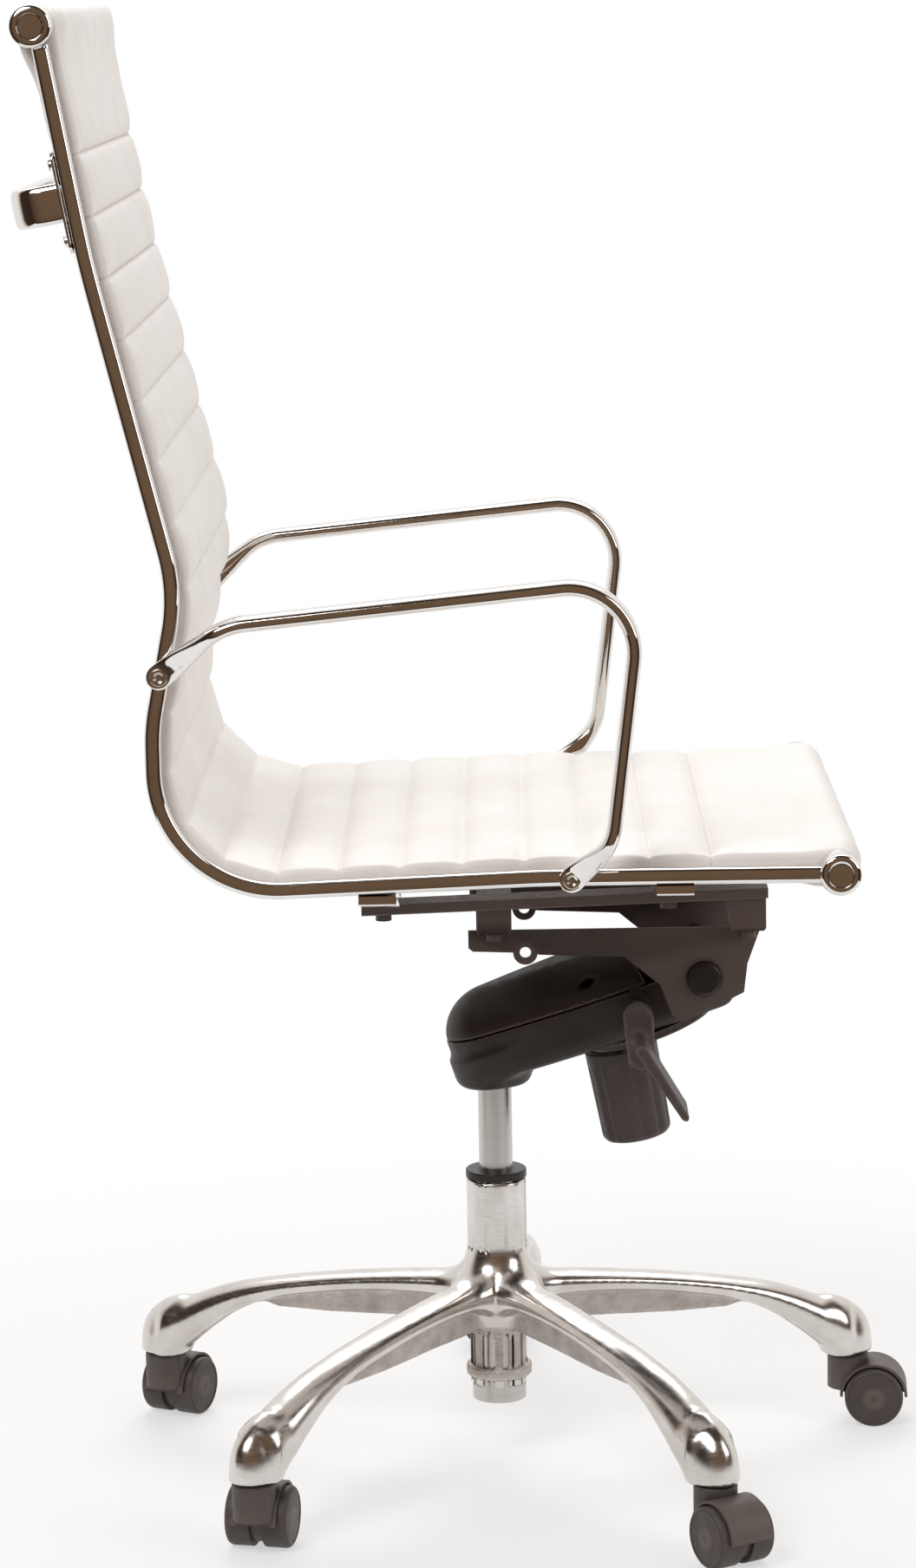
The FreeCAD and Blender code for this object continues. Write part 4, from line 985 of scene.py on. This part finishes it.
# ---------------------------------------------------------------- studio
def make_camera():
    """Long lens level with the seat's side, a little above it."""
    yaw, pitch, roll = math.radians(-0.659), math.radians(10.01), math.radians(-1.029)
    ahead = Vector((math.sin(yaw) * math.cos(pitch), math.cos(yaw) * math.cos(pitch), -math.sin(pitch)))
    level = Vector((math.cos(yaw), -math.sin(yaw), 0.0))
    above = level.cross(ahead)
    right = level * math.cos(roll) + above * math.sin(roll)
    up = above * math.cos(roll) - level * math.sin(roll)
    data = bpy.data.cameras.new("camera")
    data.sensor_width = 36.0
    data.lens = 103.3
    camera = bpy.data.objects.new("camera", data)
    bpy.context.scene.collection.objects.link(camera)
    place = Matrix((right, up, -ahead)).transposed().to_4x4()
    place.translation = column + Vector((0.016, -3.658, 1.222))
    camera.matrix_world = place
    bpy.context.scene.camera = camera


def add_lamp(name, place, target, size, power, colour=(1.0, 1.0, 1.0)):
    data = bpy.data.lights.new(name, "AREA")
    data.shape = "RECTANGLE"
    data.size, data.size_y = size
    data.energy = power
    data.color = colour
    lamp = bpy.data.objects.new(name, data)
    lamp.location = place
    lamp.rotation_euler = (Vector(target) - Vector(place)).to_track_quat("-Z", "Y").to_euler()
    bpy.context.scene.collection.objects.link(lamp)


def make_world():
    """White sweep beyond the object; the ceiling and the near end of the studio are dark."""
    world = bpy.data.worlds.new("studio")
    bpy.context.scene.world = world
    world.use_nodes = True
    tree = world.node_tree
    background = tree.nodes["Background"]
    coords = tree.nodes.new("ShaderNodeTexCoord")
    split = tree.nodes.new("ShaderNodeSeparateXYZ")
    tree.links.new(coords.outputs["Generated"], split.inputs["Vector"])
    room = tree.nodes.new("ShaderNodeValToRGB")
    stops = room.color_ramp
    stops.elements[0].position = 0.0
    stops.elements[0].color = (0.16, 0.10, 0.06, 1.0)
    stops.elements[1].position = 1.0
    stops.elements[1].color = (0.95, 0.94, 0.93, 1.0)
    for position, colour in ((0.16, (0.035, 0.022, 0.016, 1.0)), (0.42, (0.05, 0.030, 0.020, 1.0)),
                             (0.50, (0.62, 0.55, 0.48, 1.0)), (0.60, (0.95, 0.93, 0.91, 1.0))):
        stop = stops.elements.new(position)
        stop.color = colour
    half = tree.nodes.new("ShaderNodeMapRange")
    half.inputs["From Min"].default_value = -1.0
    half.inputs["From Max"].default_value = 1.0
    ceiling = tree.nodes.new("ShaderNodeMath")
    ceiling.operation = "MAXIMUM"
    ceiling.inputs[1].default_value = 0.0
    tree.links.new(split.outputs["Z"], ceiling.inputs[0])
    dimmed = tree.nodes.new("ShaderNodeMath")
    dimmed.operation = "MULTIPLY_ADD"
    dimmed.inputs[1].default_value = -0.35
    tree.links.new(ceiling.outputs["Value"], dimmed.inputs[0])
    tree.links.new(split.outputs["Y"], dimmed.inputs[2])
    tree.links.new(dimmed.outputs["Value"], half.inputs["Value"])
    tree.links.new(half.outputs["Result"], room.inputs["Fac"])
    white = tree.nodes.new("ShaderNodeRGB")
    white.outputs["Color"].default_value = (1.0, 1.0, 1.0, 1.0)
    path = tree.nodes.new("ShaderNodeLightPath")
    tree.links.new(mixed(tree, path.outputs["Is Camera Ray"], room.outputs["Color"], white.outputs["Color"]),
                   background.inputs["Color"])
    background.inputs["Strength"].default_value = 1.0


def make_floor():
    """Pale sweep under the casters: white to the eye, with the chair's own soft shadow on it."""
    bpy.ops.mesh.primitive_plane_add(size=2.6, location=(0.0, 0.0, 0.0))
    floor = bpy.context.object
    floor.name = "floor"
    material, tree, shader = node_tree("floor")
    tone = ramp(tree, noise_value(tree, 3.0), (0.88, 0.87, 0.865, 1.0), (0.90, 0.89, 0.885, 1.0))
    tree.links.new(tone, shader.inputs["Base Color"])
    shader.inputs["Roughness"].default_value = 0.7
    glow = tree.nodes.new("ShaderNodeEmission")
    path = tree.nodes.new("ShaderNodeLightPath")
    distance = tree.nodes.new("ShaderNodeVectorMath")
    distance.operation = "LENGTH"
    tree.links.new(object_coords(tree), distance.inputs[0])
    away = tree.nodes.new("ShaderNodeMapRange")
    away.interpolation_type = "SMOOTHSTEP"
    away.inputs["From Min"].default_value = 0.25
    away.inputs["From Max"].default_value = 1.1
    away.inputs["To Min"].default_value = 0.55
    tree.links.new(distance.outputs["Value"], away.inputs["Value"])
    seen = tree.nodes.new("ShaderNodeMath")
    seen.operation = "MAXIMUM"
    tree.links.new(path.outputs["Is Camera Ray"], seen.inputs[0])
    tree.links.new(path.outputs["Is Glossy Ray"], seen.inputs[1])
    share = tree.nodes.new("ShaderNodeMath")
    share.operation = "MULTIPLY"
    tree.links.new(away.outputs["Result"], share.inputs[0])
    tree.links.new(seen.outputs["Value"], share.inputs[1])
    mix = tree.nodes.new("ShaderNodeMixShader")
    tree.links.new(share.outputs["Value"], mix.inputs["Fac"])
    tree.links.new(shader.outputs["BSDF"], mix.inputs[1])
    tree.links.new(glow.outputs["Emission"], mix.inputs[2])
    tree.links.new(mix.outputs["Shader"], tree.nodes["Material Output"].inputs["Surface"])
    floor.data.materials.append(material)


def set_view():
    view = bpy.context.scene.view_settings
    view.view_transform = "Standard"


def main():
    make_camera()
    make_world()
    make_floor()
    add_lamp("key", (-1.6, -2.6, 3.2), (0.0, 0.0, 0.6), (1.8, 1.8), 80.0)
    add_lamp("fill", (2.6, -1.6, 2.0), (0.0, 0.0, 0.6), (1.5, 2.2), 34.0)
    add_lamp("back", (0.0, 2.4, 2.6), (0.0, 0.0, 0.7), (2.4, 1.4), 42.0)
    set_view()
    finish_cad_nodes()
    make_sling()
    make_base()
    make_rails()
    make_rollers()
    make_arms()
    make_handle()
    make_mechanism()
    make_knob()
    make_lever()
    make_wheels()


main()
